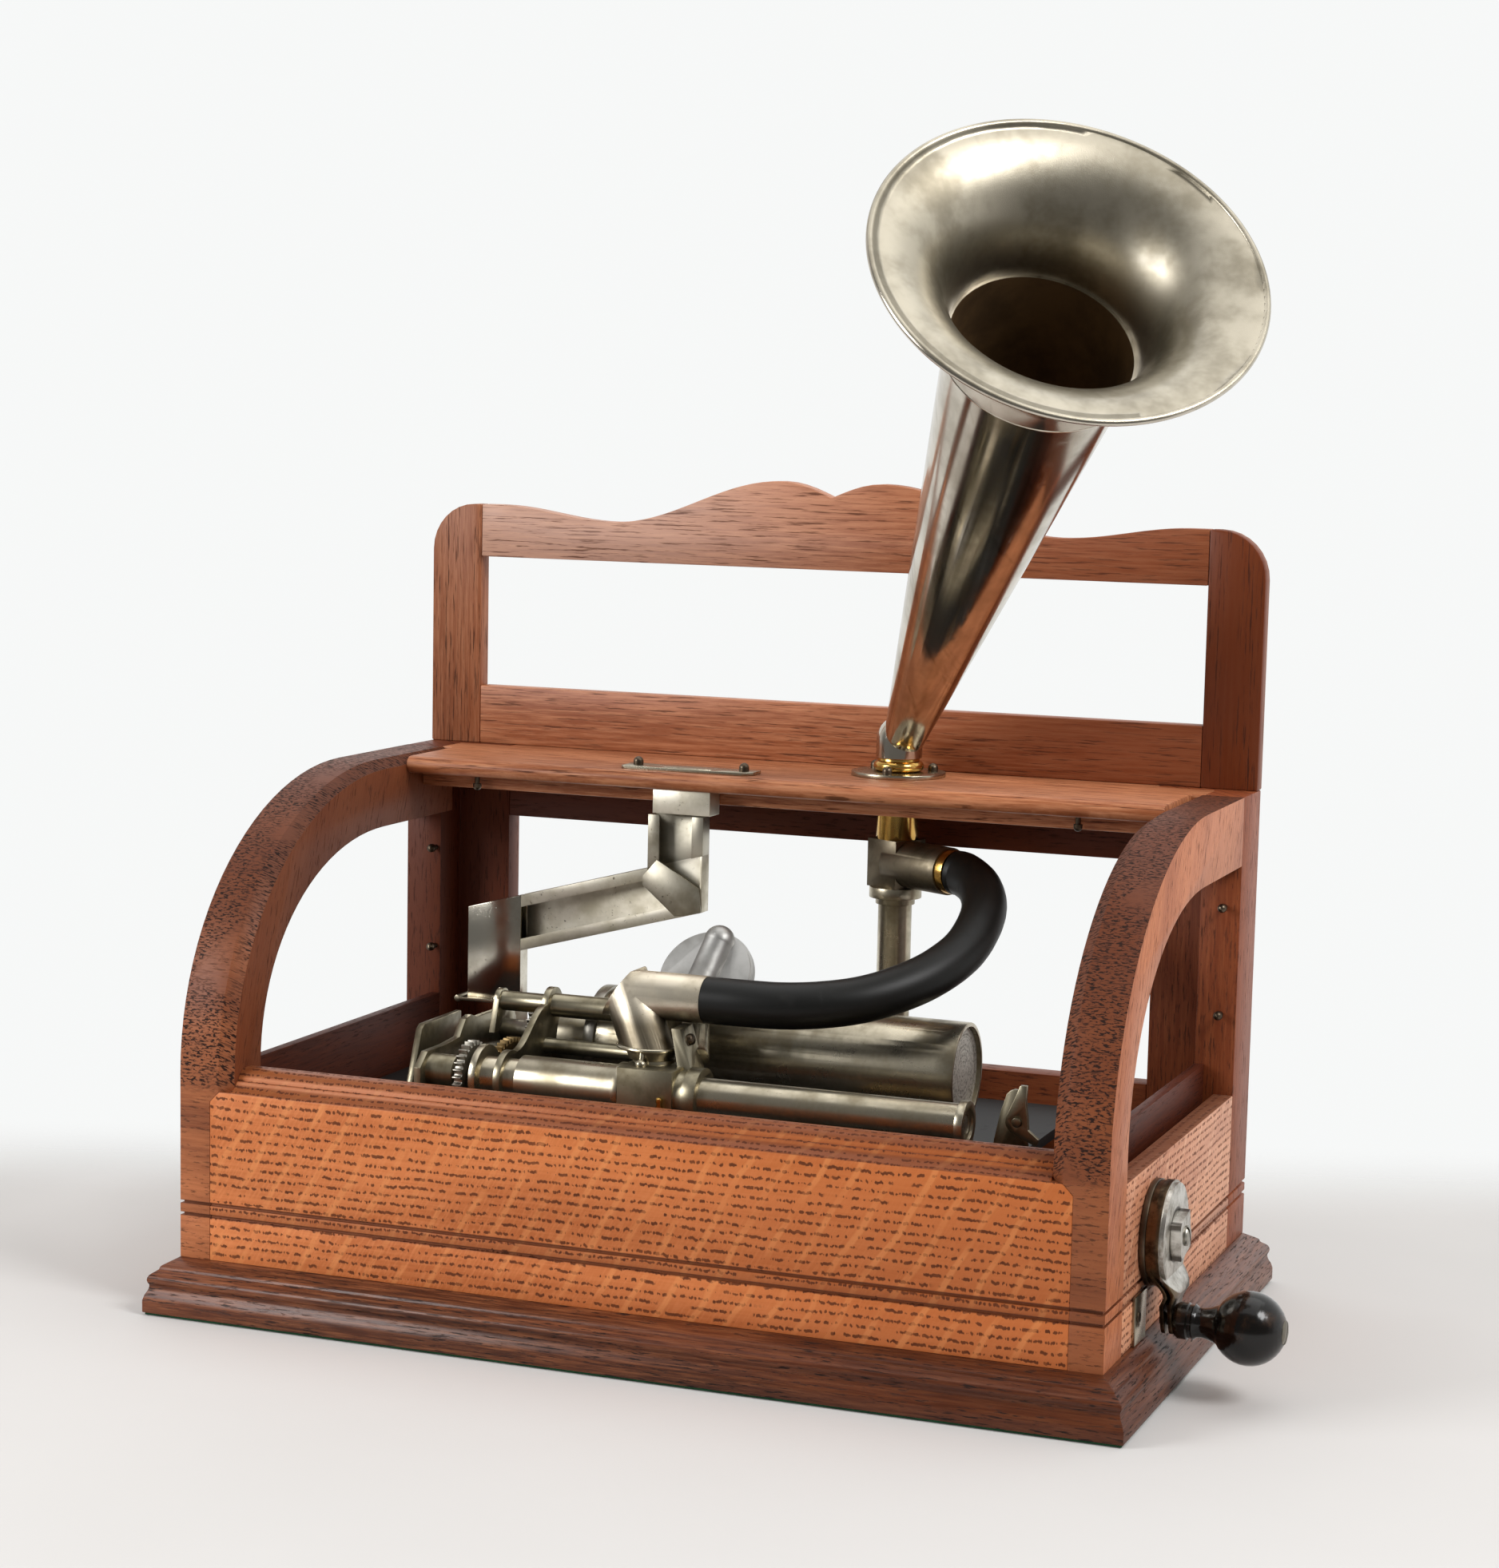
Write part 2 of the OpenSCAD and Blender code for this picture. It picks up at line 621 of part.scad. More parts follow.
// Upright plate that faces the front, with the trip lever's pin
trip_at = [144.2, crank_y + 12, bed_z + 23];
module plate_y(y, t) { translate([0, y + t, 0]) rotate([90, 0, 0]) linear_extrude(t) children(); }
module trip_pin(y, len, r) {
  translate([trip_at.x, y, trip_at.z]) rotate([-90, 0, 0]) cylinder(h = len, r = r);
}
module trip_bracket() {
  color("gray") {
    box([trip_at.x - 14, trip_at.y - 6, bed_z], [trip_at.x + 8, trip_at.y + 4, bed_z + 2]);
    plate_y(trip_at.y, 2) translate([trip_at.x, bed_z]) polygon(concat([[-12, 0], [5, 0], [3.6, 22]],
      arc([-1.5, 31.5], 4.6, 0, 150, 6), [[-8, 26], [-10.5, 14]]));
    trip_pin(trip_at.y - 4, 5, pin_r);
  }
}
// Nickel bar on the right side of the case, behind the crank
module case_bar() {
  color("silver") box([hw, crank_y - 27, base_z], [hw + 1.5, crank_y - 10, bead_z - 1.6]);
}

// Coin path
module coin_plate() {
  color("silver") difference() {
    translate([entry_x, chute_y + 4, top_z]) linear_extrude(coin_plate_t) polygon([
      [-32, -5], [-30, -7], [28, -7], [32, -3], [32, 7], [-32, 7]]);
    coin_slot();
  }
}
module shelf_screws() {
  color("dimgray") {
    for (dx = [-26, 26]) translate([entry_x + dx, chute_y + 5, top_z + coin_plate_t]) round_screw(2.3);
    for (a = [150, 30, -90]) translate([post_x, post_y, top_z + 2]) rotate([0, 0, a])
      translate([flange_d / 2 - 5.5, 0, 0]) round_screw(2.3);
  }
}
module coin_entry_box() {
  color("gainsboro") difference() {
    box([entry_x - 14, chute_y - 6, top_z - 19], [entry_x + 14, chute_y + 6, top_z - shelf_t]);
    box([entry_x - 12.5, chute_y - 4, top_z - 20], [entry_x + 12.5, chute_y + 4, top_z - shelf_t + 1]);
  }
}
// Height of the long channel's floor, which falls to the left
function slope_z(x) = upper_z0 - (chute_right - x) * tan(chute_slope_deg);
// Sheet between two X stations and two heights above the slope, from one depth to another
module slope_sheet(x0, x1, lo, hi, y0, y1) {
  a = slope_z(x0);
  b = slope_z(x1);
  channel_sheet([[x0, a + lo], [x1, b + lo], [x1, b + hi], [x0, a + hi]], y0, y1);
}
module channel_sheet(points, y0, y1) {
  translate([0, chute_y + y1, 0]) rotate([90, 0, 0]) linear_extrude(y1 - y0) polygon(points);
}
// Upright sheet from the slope's top edge to the top of the upper channel
module upper_sheet(x0, x1, y0, y1) {
  channel_sheet([[x0, slope_z(x0) + slope_h], [x1, slope_z(x1) + slope_h], [x1, upper_z1], [x0, upper_z1]],
    y0, y1);
}
module chute_upper() {
  color("gainsboro") {
    upper_sheet(chute_left, chute_right, half_d - chute_wall, half_d);
    for (x = [chute_left, chute_right - chute_wall]) upper_sheet(x, x + chute_wall, -half_d, half_d);
    for (x = [chute_left, chute_right - chute_lip])
      upper_sheet(x, x + chute_lip, -half_d, -half_d + chute_wall);
  }
}
// Plate over the front of the corner where the two channels meet
module chute_corner_plate() {
  low = slope_z(chute_right);
  color("silver") channel_sheet([[chute_left - 2, low + 15], [chute_left + 5, low + 23],
    [chute_right - 1, low + 11], [chute_right, low], [chute_right - 13, low - 2.5],
    [chute_left - 2, low + 11]], -half_d - 1, -half_d);
}
module chute_slope() {
  color("gainsboro") {
    slope_sheet(lower_right, chute_right, 0, slope_h, half_d - chute_wall, half_d);
    slope_sheet(lower_right, chute_right, 0, chute_wall, -half_d, half_d);
    slope_sheet(lower_right, chute_left, slope_h - chute_wall, slope_h, -half_d, half_d);
    slope_sheet(chute_right - chute_wall, chute_right, 0, slope_h, -half_d, half_d);
    slope_sheet(lower_right, chute_right, 0, chute_lip, -half_d, -half_d + chute_wall);
    slope_sheet(lower_right, chute_left, slope_h - chute_lip, slope_h, -half_d, -half_d + chute_wall);
  }
}
// Closed lower channel with a top that follows the slope
module chute_lower() {
  outline = [[lower_left, lower_z0], [lower_right, lower_z0], [lower_right, slope_z(lower_right) + slope_h],
    [lower_left, slope_z(lower_left) + slope_h]];
  color("silver") {
    for (y = [-half_d, half_d - chute_wall]) channel_sheet(outline, y, y + chute_wall);
    slope_sheet(lower_left, lower_right, slope_h - chute_wall, slope_h, -half_d, half_d);
    box([lower_left, chute_y - half_d, lower_z0],
      [lower_left + chute_wall, chute_y + half_d, slope_z(lower_left) + slope_h - chute_wall]);
    box([lower_right - chute_wall, chute_y - half_d, lower_z0],
      [lower_right, chute_y + half_d, slope_z(lower_right)]);
  }
}
// Foot below the lower channel: a ledge with a rolled end, and a leg with the coin lever's pin
module chute_foot() {
  ledge = lower_z0 - 1.5;
  color("silver") {
    difference() {
      box([lower_left - 4, chute_y - 7, ledge], [lower_right, chute_y + 7, lower_z0]);
      box([lower_left + chute_wall, chute_y - half_d + chute_wall, ledge - 1],
        [lower_right - 4, chute_y + half_d - chute_wall, lower_z0 + 1]);
    }
    translate([lower_left - 4, chute_y - 7, ledge + 0.75]) rotate([-90, 0, 0]) cylinder(h = 14, r = 1.6);
    plate_x(lower_right - 3, 2) polygon([[pin_y - 5, bed_z], [pin_y - 5, pin_z + 5], [chute_y - 4, ledge],
      [chute_y + 7, ledge], [chute_y + 7, bed_z]]);
    rod(lower_right - 9, 7, [pin_y, pin_z], pin_r);
  }
}
// Rocking lever with a pan below the channel's mouth
module coin_lever() {
  x = lower_right - 8;
  color("gray") difference() {
    union() {
      plate_x(x, 2) polygon([[pin_y - 26, pin_z - 6], [pin_y - 26, pin_z - 2], [pin_y - 4, pin_z + 4],
        [pin_y + 6, pin_z + 4], [chute_y + 3, pin_z + 5], [chute_y + 3, pin_z + 2], [pin_y + 4, pin_z - 4],
        [pin_y - 6, pin_z - 4]]);
      box([lower_left + 4, chute_y - 4, pin_z + 3.5], [x + 1, chute_y + 3, pin_z + 5]);
    }
    rod(x - 1, 4, [pin_y, pin_z], pin_r + run);
  }
}

// Sound post
module horn_flange() {
  color("silver") translate([post_x, post_y, top_z]) difference() {
    cylinder(h = 2, r = flange_d / 2);
    translate([0, 0, -1]) cylinder(h = 4, r = socket_r);
  }
}
// Brass tube from the tee up through the shelf, with a ring above the flange
module horn_socket() {
  color("gold") translate([post_x, post_y, 0]) difference() {
    union() {
      translate([0, 0, tee_z + tee_h]) cylinder(h = top_z + 8 - tee_z - tee_h, r = socket_r);
      translate([0, 0, top_z + 8]) cylinder(h = 6, r = horn_foot_r - horn_wall - run);
      translate([0, 0, top_z + 2]) rotate_extrude() translate([socket_r - 0.5, 2.5]) circle(r = 2.5);
    }
    translate([0, 0, tee_z]) cylinder(h = 200, r = socket_r - 2);
  }
}
module along_tee() { translate([post_x, post_y, tee_z]) rotate([0, 0, tee_turn]) children(); }
module tee_block() {
  color("lightgray") difference() {
    union() {
      along_tee() translate([-tee_half, -tee_half, -tee_h]) cube([2 * tee_half, 2 * tee_half, 2 * tee_h]);
      along_tee() rotate([0, 90, 0]) cylinder(h = tee_reach, r = hose_r + 0.8);
    }
    along_tee() translate([0, 0, -5]) cylinder(h = 40, r = socket_r - 2);
    along_tee() rotate([0, 90, 0]) cylinder(h = tee_reach + 1, r = hose_r - 3);
    along_tee() translate([tee_reach - ferrule_in, 0, 0]) rotate([0, 90, 0]) cylinder(h = 10, r = hose_r);
  }
}
module hose_ferrule() {
  color("goldenrod") along_tee() translate([tee_reach - ferrule_in, 0, 0]) rotate([0, 90, 0]) difference() {
    cylinder(h = ferrule_in + ferrule_out, r = hose_r);
    translate([0, 0, -1]) cylinder(h = ferrule_in + ferrule_out + 2, r = hose_r - 3);
  }
}
module post_pipe() {
  color("silver") translate([post_x, post_y, 0]) {
    translate([0, 0, bed_z]) cylinder(h = tee_z - tee_h - 8 - bed_z, r = 7.7);
    translate([0, 0, tee_z - tee_h - 8]) cylinder(h = 3, r = 9);
    translate([0, 0, tee_z - tee_h - 5]) cylinder(h = 5, r = 12);
    translate([0, 0, bed_z]) cylinder(h = 3, r = 13);
  }
}
// Hose swept along its route with rings square to the way
function spline(p, i, t) =
  let (a = p[max(i - 1, 0)], b = p[i], c = p[i + 1], d = p[min(i + 2, len(p) - 1)])
  0.5 * (2 * b + (c - a) * t + (2 * a - 5 * b + 4 * c - d) * t * t + (3 * b - a - 3 * c + d) * t * t * t);
function unit(v) = v / norm(v);
hose_path = concat(
  [for (i = [0:len(hose_points) - 2], k = [0:hose_steps - 1]) spline(hose_points, i, k / hose_steps)],
  [hose_points[len(hose_points) - 1]]);
hose_sides = 12;
module rubber_hose() {
  n = len(hose_path);
  way = [for (i = [0:n - 1]) i == 0 ? [cos(tee_turn), sin(tee_turn), 0] : i == n - 1 ? [-1, 0, 0] :
    unit(hose_path[i + 1] - hose_path[i - 1])];
  rings = [for (i = [0:n - 1]) let (s = unit(cross([0, 0, 1], way[i])), u = cross(way[i], s))
    for (k = [0:hose_sides - 1]) let (a = 360 * k / hose_sides)
      hose_path[i] + hose_r * (cos(a) * s + sin(a) * u)];
  faces = concat([[for (k = [0:hose_sides - 1]) k]],
    [for (i = [0:n - 2], k = [0:hose_sides - 1])
      let (a = i * hose_sides + k, b = i * hose_sides + (k + 1) % hose_sides)
      [a, a + hose_sides, b + hose_sides, b]],
    [[for (k = [hose_sides - 1:-1:0]) (n - 1) * hose_sides + k]]);
  color("black") polyhedron(rings, faces, convexity = 8);
}

// Horn, leaning from its socket
module along_horn() {
  translate([post_x + horn_shift, post_y, horn_z]) rotate([0, horn_tilt, horn_heading]) children();
}
module horn_cone() {
  color("silver") difference() {
    union() {
      translate([post_x, post_y, top_z + 8 + gap]) cylinder(h = horn_z - top_z - 8 - gap, r = horn_foot_r);
      translate([post_x, post_y, horn_z]) sphere(r = horn_foot_r);
      along_horn() cylinder(h = cone_len, r1 = horn_neck_r, r2 = throat_r);
    }
    translate([post_x, post_y, top_z]) cylinder(h = horn_z - top_z, r = horn_foot_r - horn_wall);
    translate([post_x, post_y, horn_z]) sphere(r = horn_foot_r - horn_wall);
    along_horn() cylinder(h = cone_len + 1, r1 = horn_neck_r - horn_wall, r2 = throat_r - horn_wall);
  }
}
// Bell from throat to rim, a quarter of an ellipse, with a rolled rim and a collar over the cone
function bell_point(t) = [throat_r + (rim_r - throat_r) * (1 - cos(t)), cone_len + bell_len * sin(t)];
function bell_out(t) = unit([bell_len * cos(t), -(rim_r - throat_r) * sin(t)]);
bell_steps = [for (i = [0:14]) 90 * i / 14];
module horn_bell() {
  back = [for (t = bell_steps) bell_point(t) + horn_wall * bell_out(t)];
  collar = throat_r + horn_wall + 0.5;
  color("silver") along_horn() rotate_extrude() {
    polygon(concat([for (t = bell_steps) bell_point(t)], [for (i = [len(back) - 1:-1:1]) back[i]],
      [[collar, cone_len + 2], [collar, cone_len - 4], [throat_r + run, cone_len - 4]]));
    translate([rim_r, cone_len + bell_len - horn_wall / 2]) circle(r = rim_bead);
  }
}

// Mandrel and gear train
module mandrel() {
  r1 = (mandrel_d + mandrel_taper) / 2;
  r2 = mandrel_d / 2;
  wall = 2;
  color("silver") translate([mandrel_x, mandrel_y, mandrel_z]) rotate([0, 90, 0]) rotate_extrude() polygon([
    [shaft_d / 2, 0], [r1, 0], [r2, mandrel_len], [r2 - wall, mandrel_len], [r2 - wall, mandrel_len - 6],
    [r1 - wall, 4], [shaft_d / 2, 4]]);
}
module mandrel_end_plate() {
  color("gainsboro") rod(mandrel_end - 4, 2, mandrel_axis, mandrel_d / 2 - 2);
}
module mandrel_shaft() {
  color("silver") {
    rod(bearing_x - 3, mandrel_end - 4 - bearing_x + 3, mandrel_axis, shaft_d / 2);
    rod(mandrel_x - 5, 5, mandrel_axis, mandrel_flange_d / 2);
    gear(gear_x, gear_w, mandrel_axis, mandrel_teeth, mandrel_turn);
  }
}
module idler_gear() {
  color("goldenrod") {
    gear(gear_x, gear_w, idler_axis, idler_teeth, idler_turn);
    rod(bearing_x - 3, gear_x - bearing_x + 5, idler_axis, 2.5);
  }
}
module feed_screw() {
  color("gainsboro") {
    rod(bearing_x - 3, feed_end - 1 - bearing_x + 3, feed_axis, shaft_d / 2);
    rod(feed_end - 1, 3, feed_axis, 4);
    gear(gear_x, gear_w, feed_axis, feed_teeth, feed_turn);
  }
}
// Arbor with the wheel below the idler at its left and the pinion at the great wheel
module centre_arbor() {
  color("goldenrod") {
    rod(motor_x[0] - 2, great_x + 8 - motor_x[0], arbor_axis, 3);
    gear(gear_x, gear_w, arbor_axis, wheel_teeth, wheel_turn);
    gear(great_x, 5, arbor_axis, pinion_teeth, wheel_turn);
  }
}
module spring_barrel() {
  color("goldenrod") difference() {
    union() {
      rod(barrel_x - 1, barrel_len, crank_axis, barrel_r);
      gear(great_x, 5, crank_axis, great_teeth, great_turn);
    }
    rod(great_x - 1, barrel_len + 10, crank_axis, shaft_d / 2 + run);
    rod(barrel_x + 2, barrel_len - 6, crank_axis, barrel_r - 2);
  }
}
// Governor shaft with three flyweights between two hubs
module governor() {
  color("goldenrod") {
    rod(motor_x[0] - 2, motor_x[1] - motor_x[0] + 7, governor_axis, 2.5);
    gear(gear_x, gear_w, governor_axis, governor_teeth, governor_turn);
    for (x = [-82, -54]) rod(x, 6, governor_axis, 6);
    for (a = [0, 120, 240]) plate_x(-78, 26) translate(governor_axis) rotate(a) {
      translate([3.5, -2]) square([3, 4]);
      translate([9, 0]) circle(r = 4);
    }
  }
}

// Carriage
module carriage_sleeve() {
  color("silver") difference() {
    union() {
      rod(sleeve_x, sleeve_len, feed_axis, sleeve_d / 2);
      rod(sleeve_x + sleeve_len - 3, 3, feed_axis, sleeve_d / 2 + 1.2);
      box([sleeve_x + 18, feed_y, feed_z + 2], [sleeve_x + 40, feed_y + 18, feed_z + 5]);
    }
    rod(sleeve_x - 1, sleeve_len + 2, feed_axis, feed_tube_d / 2 + run);
  }
}
// Outline of the S-shaped arm from the feed tube up to the guide tube
module s_outline() {
  f = feed_axis;
  g = guide_axis;
  translate(f) circle(r = 12);
  translate(g) circle(r = 8);
  polygon(concat([f + [-4, 11]],
    [for (t = [0:0.1:1]) [f.x + 6 + (g.x - f.x - 14) * t, f.y + ease(10.5, 26, t)]],
    [g + [4, 5], g + [4, -7], g + [1, -17], g + [-5, -24], [f.x + 24, f.y - 8], f + [6, -10]]));
}
// S-shaped arm, the two tubes it carries, the lift lever and the block that holds the elbow
module carriage_frame() {
  arm_t = 3;
  tube_end = block_x + 3;
  color("silver") difference() {
    union() {
      plate_x(arm_x, arm_t) s_outline();
      plate_x(block_x, arm_t) s_outline();
      rod(lever_x, arm_x - lever_x, guide_axis, 4.4);
      plate_x(lever_x, 2.6) {
        translate(guide_axis) circle(r = 5.5);
        translate(guide_axis) polygon([[-5.4, 1], [3, -4.6], [-5, -13], [-10, -13]]);
      }
      rod(arm_x, tube_end - arm_x, guide_axis, guide_d / 2);
      rod(arm_x, tube_end - arm_x, low_rod_axis, 3.35);
      rod(block_x, block_len, feed_axis, 11);
      rod(block_x + block_len - 6, 6, feed_axis, 12.5);
      box([block_x, feed_y - 12, feed_z - 10], [block_x + 25, feed_y + 9, feed_z + 12]);
      plate_y(feed_y + 1, 14) translate([block_x, feed_z]) polygon([[24, 2], [31, 2], [23, 28], [19, 28]]);
      reach([block_x + 27, feed_y + 14, feed_z + 14], disc_pos + [4, -14, -18], 4, 3);
      translate([block_x + 9, cup_pos.y, feed_z]) cylinder(h = cup_pos.z - feed_z, r = 9);
    }
    rod(arm_x - 1, 130, feed_axis, feed_tube_d / 2 + run);
    elbow_body(gap);
    translate(disc_pos) rotate([disc_tilt, 0, 0]) translate([0, 0, -5]) cylinder(h = 9, r = disc_d / 2);
  }
}
// Mitred elbow: a cup below, a leaning leg, a level tube for the hose and a flat facet across the corner
elbow_corner = [cup_pos.x - 15.1, elbow_axis.x, elbow_axis.y];
facet_turn = 34;
facet_out = 3.5;
leg_r = 10.6;
module elbow_body(grow) {
  top = elbow_corner + 10 * unit(elbow_corner - cup_pos);
  difference() {
    union() {
      difference() {
        reach(cup_pos - 0.3 * (top - cup_pos), top, leg_r + 0.9 + grow, leg_r + grow);
        translate(cup_pos - [20, 20, 36]) cube([40, 40, 40]);
      }
      translate(cup_pos) cylinder(h = 4, r1 = leg_r - 1.2 + grow, r2 = leg_r + 0.6 + grow);
      rod(elbow_corner.x - 11, hose_end_x - elbow_corner.x + 11, elbow_axis, hose_r + 0.2 + grow);
    }
    translate(elbow_corner) rotate([0, facet_turn, 0]) translate([-40 - facet_out - grow, -25, -40])
      cube([40, 50, 80]);
    translate(elbow_corner + [-40, -25, 10.3 + grow]) cube([80, 50, 20]);
  }
}
module sound_elbow() {
  color("silver") difference() {
    elbow_body(0);
    rod(hose_end_x - 14, 20, elbow_axis, hose_r - 2.4);
  }
}
// Disc with a raised sound channel across its face and a stylus bar behind
module reproducer() {
  color("lightgray") translate(disc_pos) rotate([disc_tilt, 0, 0]) {
    translate([0, 0, -4]) cylinder(h = 7, r = disc_d / 2 - 1);
    translate([0, 0, -1.5]) cylinder(h = 3, r = disc_d / 2);
    translate([3, 16, 4]) sphere(r = 6.8);
    reach([3, 16, 4], [-1.5, -12, 4], 6.5, 6.5);
    translate([-1.5, -12, 4]) sphere(r = 6.8);
    translate([0, 0, -7]) cylinder(h = 4, r = 3);
  }
}
module trip_lever() {
  color("gray") difference() {
    plate_y(trip_at.y - 3, 2.4) translate([trip_at.x, trip_at.z]) polygon(concat(
      arc([0, 0], 5, 150, 260, 6), [[3, -7], [8.5, -9.5], [9.5, -6.5], [5, -3]],
      [[4.6, 2], [3.6, 8], [4, 15.5], [1, 15.5], [-1.5, 9]]));
    trip_pin(trip_at.y - 5, 8, pin_r + run);
  }
}

// Crank
disc_t = 2.4;
strap_t = 1.6;
strap_out = 6.5;
eye_r = 6;
eye_x = [4.6, 7.8];
crank_x = hw + gap + disc_t;
module winding_shaft() {
  color("gray") {
    rod(motor_x[2] - 4, hw + 1.5 - motor_x[2] + 4, crank_axis, shaft_d / 2);
    rod(hw + gap, disc_t, crank_axis, ratchet_r);
  }
}
// Line of a strap down from the shaft, bent outwards below the discs
function strap_x(d) = d < 10 ? 0 : d < 23 ? ease(0, strap_out, (d - 10) / 13) :
  ease(strap_out, eye_x[0], min(1, (d - 23) / 4));
// Drop shape round the discs and the knob's eye
module drop_outline() {
  way = turn_to(crank_axis, knob_axis);
  open = acos((ratchet_r - 1 - eye_r) / norm(knob_axis - crank_axis));
  side = [for (a = [way - open, way + open]) [cos(a), sin(a)]];
  translate(crank_axis) circle(r = ratchet_r - 1);
  translate(knob_axis) circle(r = eye_r);
  polygon([crank_axis + (ratchet_r - 1) * side[0], knob_axis + eye_r * side[0], knob_axis + eye_r * side[1],
    crank_axis + (ratchet_r - 1) * side[1]]);
}
module strap(x) {
  depths = concat([-ratchet_r], [for (i = [0:15]) 9 + 2 * i], [crank_r + 2 * eye_r]);
  line = [for (d = depths) [x + strap_x(d), crank_z - d]];
  intersection() {
    plate_x(crank_x - 1, 30) drop_outline();
    translate([0, crank_y + 30, 0]) rotate([90, 0, 0]) linear_extrude(60)
      polygon(concat(line, [for (p = backwards(line)) p + [strap_t, 0]]));
  }
}
module crank_arm() {
  color("dimgray") difference() {
    union() {
      rod(crank_x, disc_t, crank_axis, ratchet_r - 0.5);
      rod(crank_x + disc_t, 3.4, crank_axis, ratchet_r);
      plate_x(crank_x + 5.8, strap_t) translate(crank_axis) union() {
        circle(r = ratchet_r - 1);
        polygon([[-ratchet_r + 3, -9], [ratchet_r - 3, -9], [0, -ratchet_r - 9]]);
      }
      plate_x(crank_x + 5.8 + strap_t, 4) translate(crank_axis) rotate(12) square(16, center = true);
      strap(crank_x);
      strap(crank_x + 3.2);
    }
    rod(crank_x - 1, 20, knob_axis, knob_hole_r);
  }
}
// Turned knob: collar, neck and bulb
module crank_knob() {
  bulb = knob_d / 2;
  x0 = crank_x + eye_x[1] + strap_t + gap;
  pin = knob_hole_r - run;
  color("black") translate([x0, knob_axis.x, knob_axis.y]) rotate([0, 90, 0]) rotate_extrude()
    polygon(concat([[0, -6.5], [pin, -6.5], [pin, 0], [6.5, 0], [7.5, 1.5], [7.5, 5], [6.8, 5.6], [6.8, 7],
      [7.2, 7.6], [6.2, 9], [6, 11], [6.6, 14]], arc([0, knob_len - bulb], bulb, -58, 78, 14),
      [[0, knob_len - 0.4]]));
}

felt_pad();
base_moulding();
front_panel();
left_arch();
right_arch();
left_side_panel();
right_side_panel();
glass_stops();
left_rear_post();
right_rear_post();
back_lower_rail();
back_top_rail();
shelf();
header_stiles();
header_top_rail();
header_bottom_rail();
case_screws();
bed_bearers();
bed_plate();
end_frame();
bearing_plate();
bearing_drum();
feed_tube();
feed_tube_end();
motor_frame();
trip_bracket();
coin_plate();
shelf_screws();
coin_entry_box();
chute_upper();
chute_corner_plate();
chute_slope();
chute_lower();
chute_foot();
horn_flange();
horn_socket();
tee_block();
post_pipe();
hose_ferrule();
rubber_hose();
case_bar();
horn_cone();
horn_bell();
mandrel();
mandrel_end_plate();
mandrel_shaft();
idler_gear();
feed_screw();
centre_arbor();
spring_barrel();
governor();
carriage_sleeve();
carriage_frame();
sound_elbow();
reproducer();
coin_lever();
trip_lever();
winding_shaft();
crank_arm();
crank_knob();
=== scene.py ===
"""Looks of the coin-operated cylinder phonograph: oak, worn nickel, brass, rubber and lacquer."""
import math

import bmesh
import bpy
from mathutils import Matrix, Vector


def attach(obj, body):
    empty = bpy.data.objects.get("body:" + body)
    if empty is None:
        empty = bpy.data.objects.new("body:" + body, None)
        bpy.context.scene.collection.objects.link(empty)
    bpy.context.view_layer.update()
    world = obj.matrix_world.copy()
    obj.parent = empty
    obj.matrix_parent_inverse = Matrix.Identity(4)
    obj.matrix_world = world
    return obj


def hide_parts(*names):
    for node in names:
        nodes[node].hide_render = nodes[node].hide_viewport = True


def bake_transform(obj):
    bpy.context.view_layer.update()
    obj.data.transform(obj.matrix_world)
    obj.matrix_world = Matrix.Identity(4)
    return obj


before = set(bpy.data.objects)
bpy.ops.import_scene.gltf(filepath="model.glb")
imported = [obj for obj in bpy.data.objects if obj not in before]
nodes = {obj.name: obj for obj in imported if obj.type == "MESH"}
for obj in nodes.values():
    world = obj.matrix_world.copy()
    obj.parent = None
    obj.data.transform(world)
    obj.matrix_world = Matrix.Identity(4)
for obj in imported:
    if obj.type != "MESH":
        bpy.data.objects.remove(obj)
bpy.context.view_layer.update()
MM = 0.001


def srgb(r, g, b):
    """A screen colour from 0 to 255 as linear values."""
    def linear(v):
        v /= 255
        return v / 12.92 if v <= 0.04045 else ((v + 0.055) / 1.055) ** 2.4
    return (linear(r), linear(g), linear(b), 1.0)


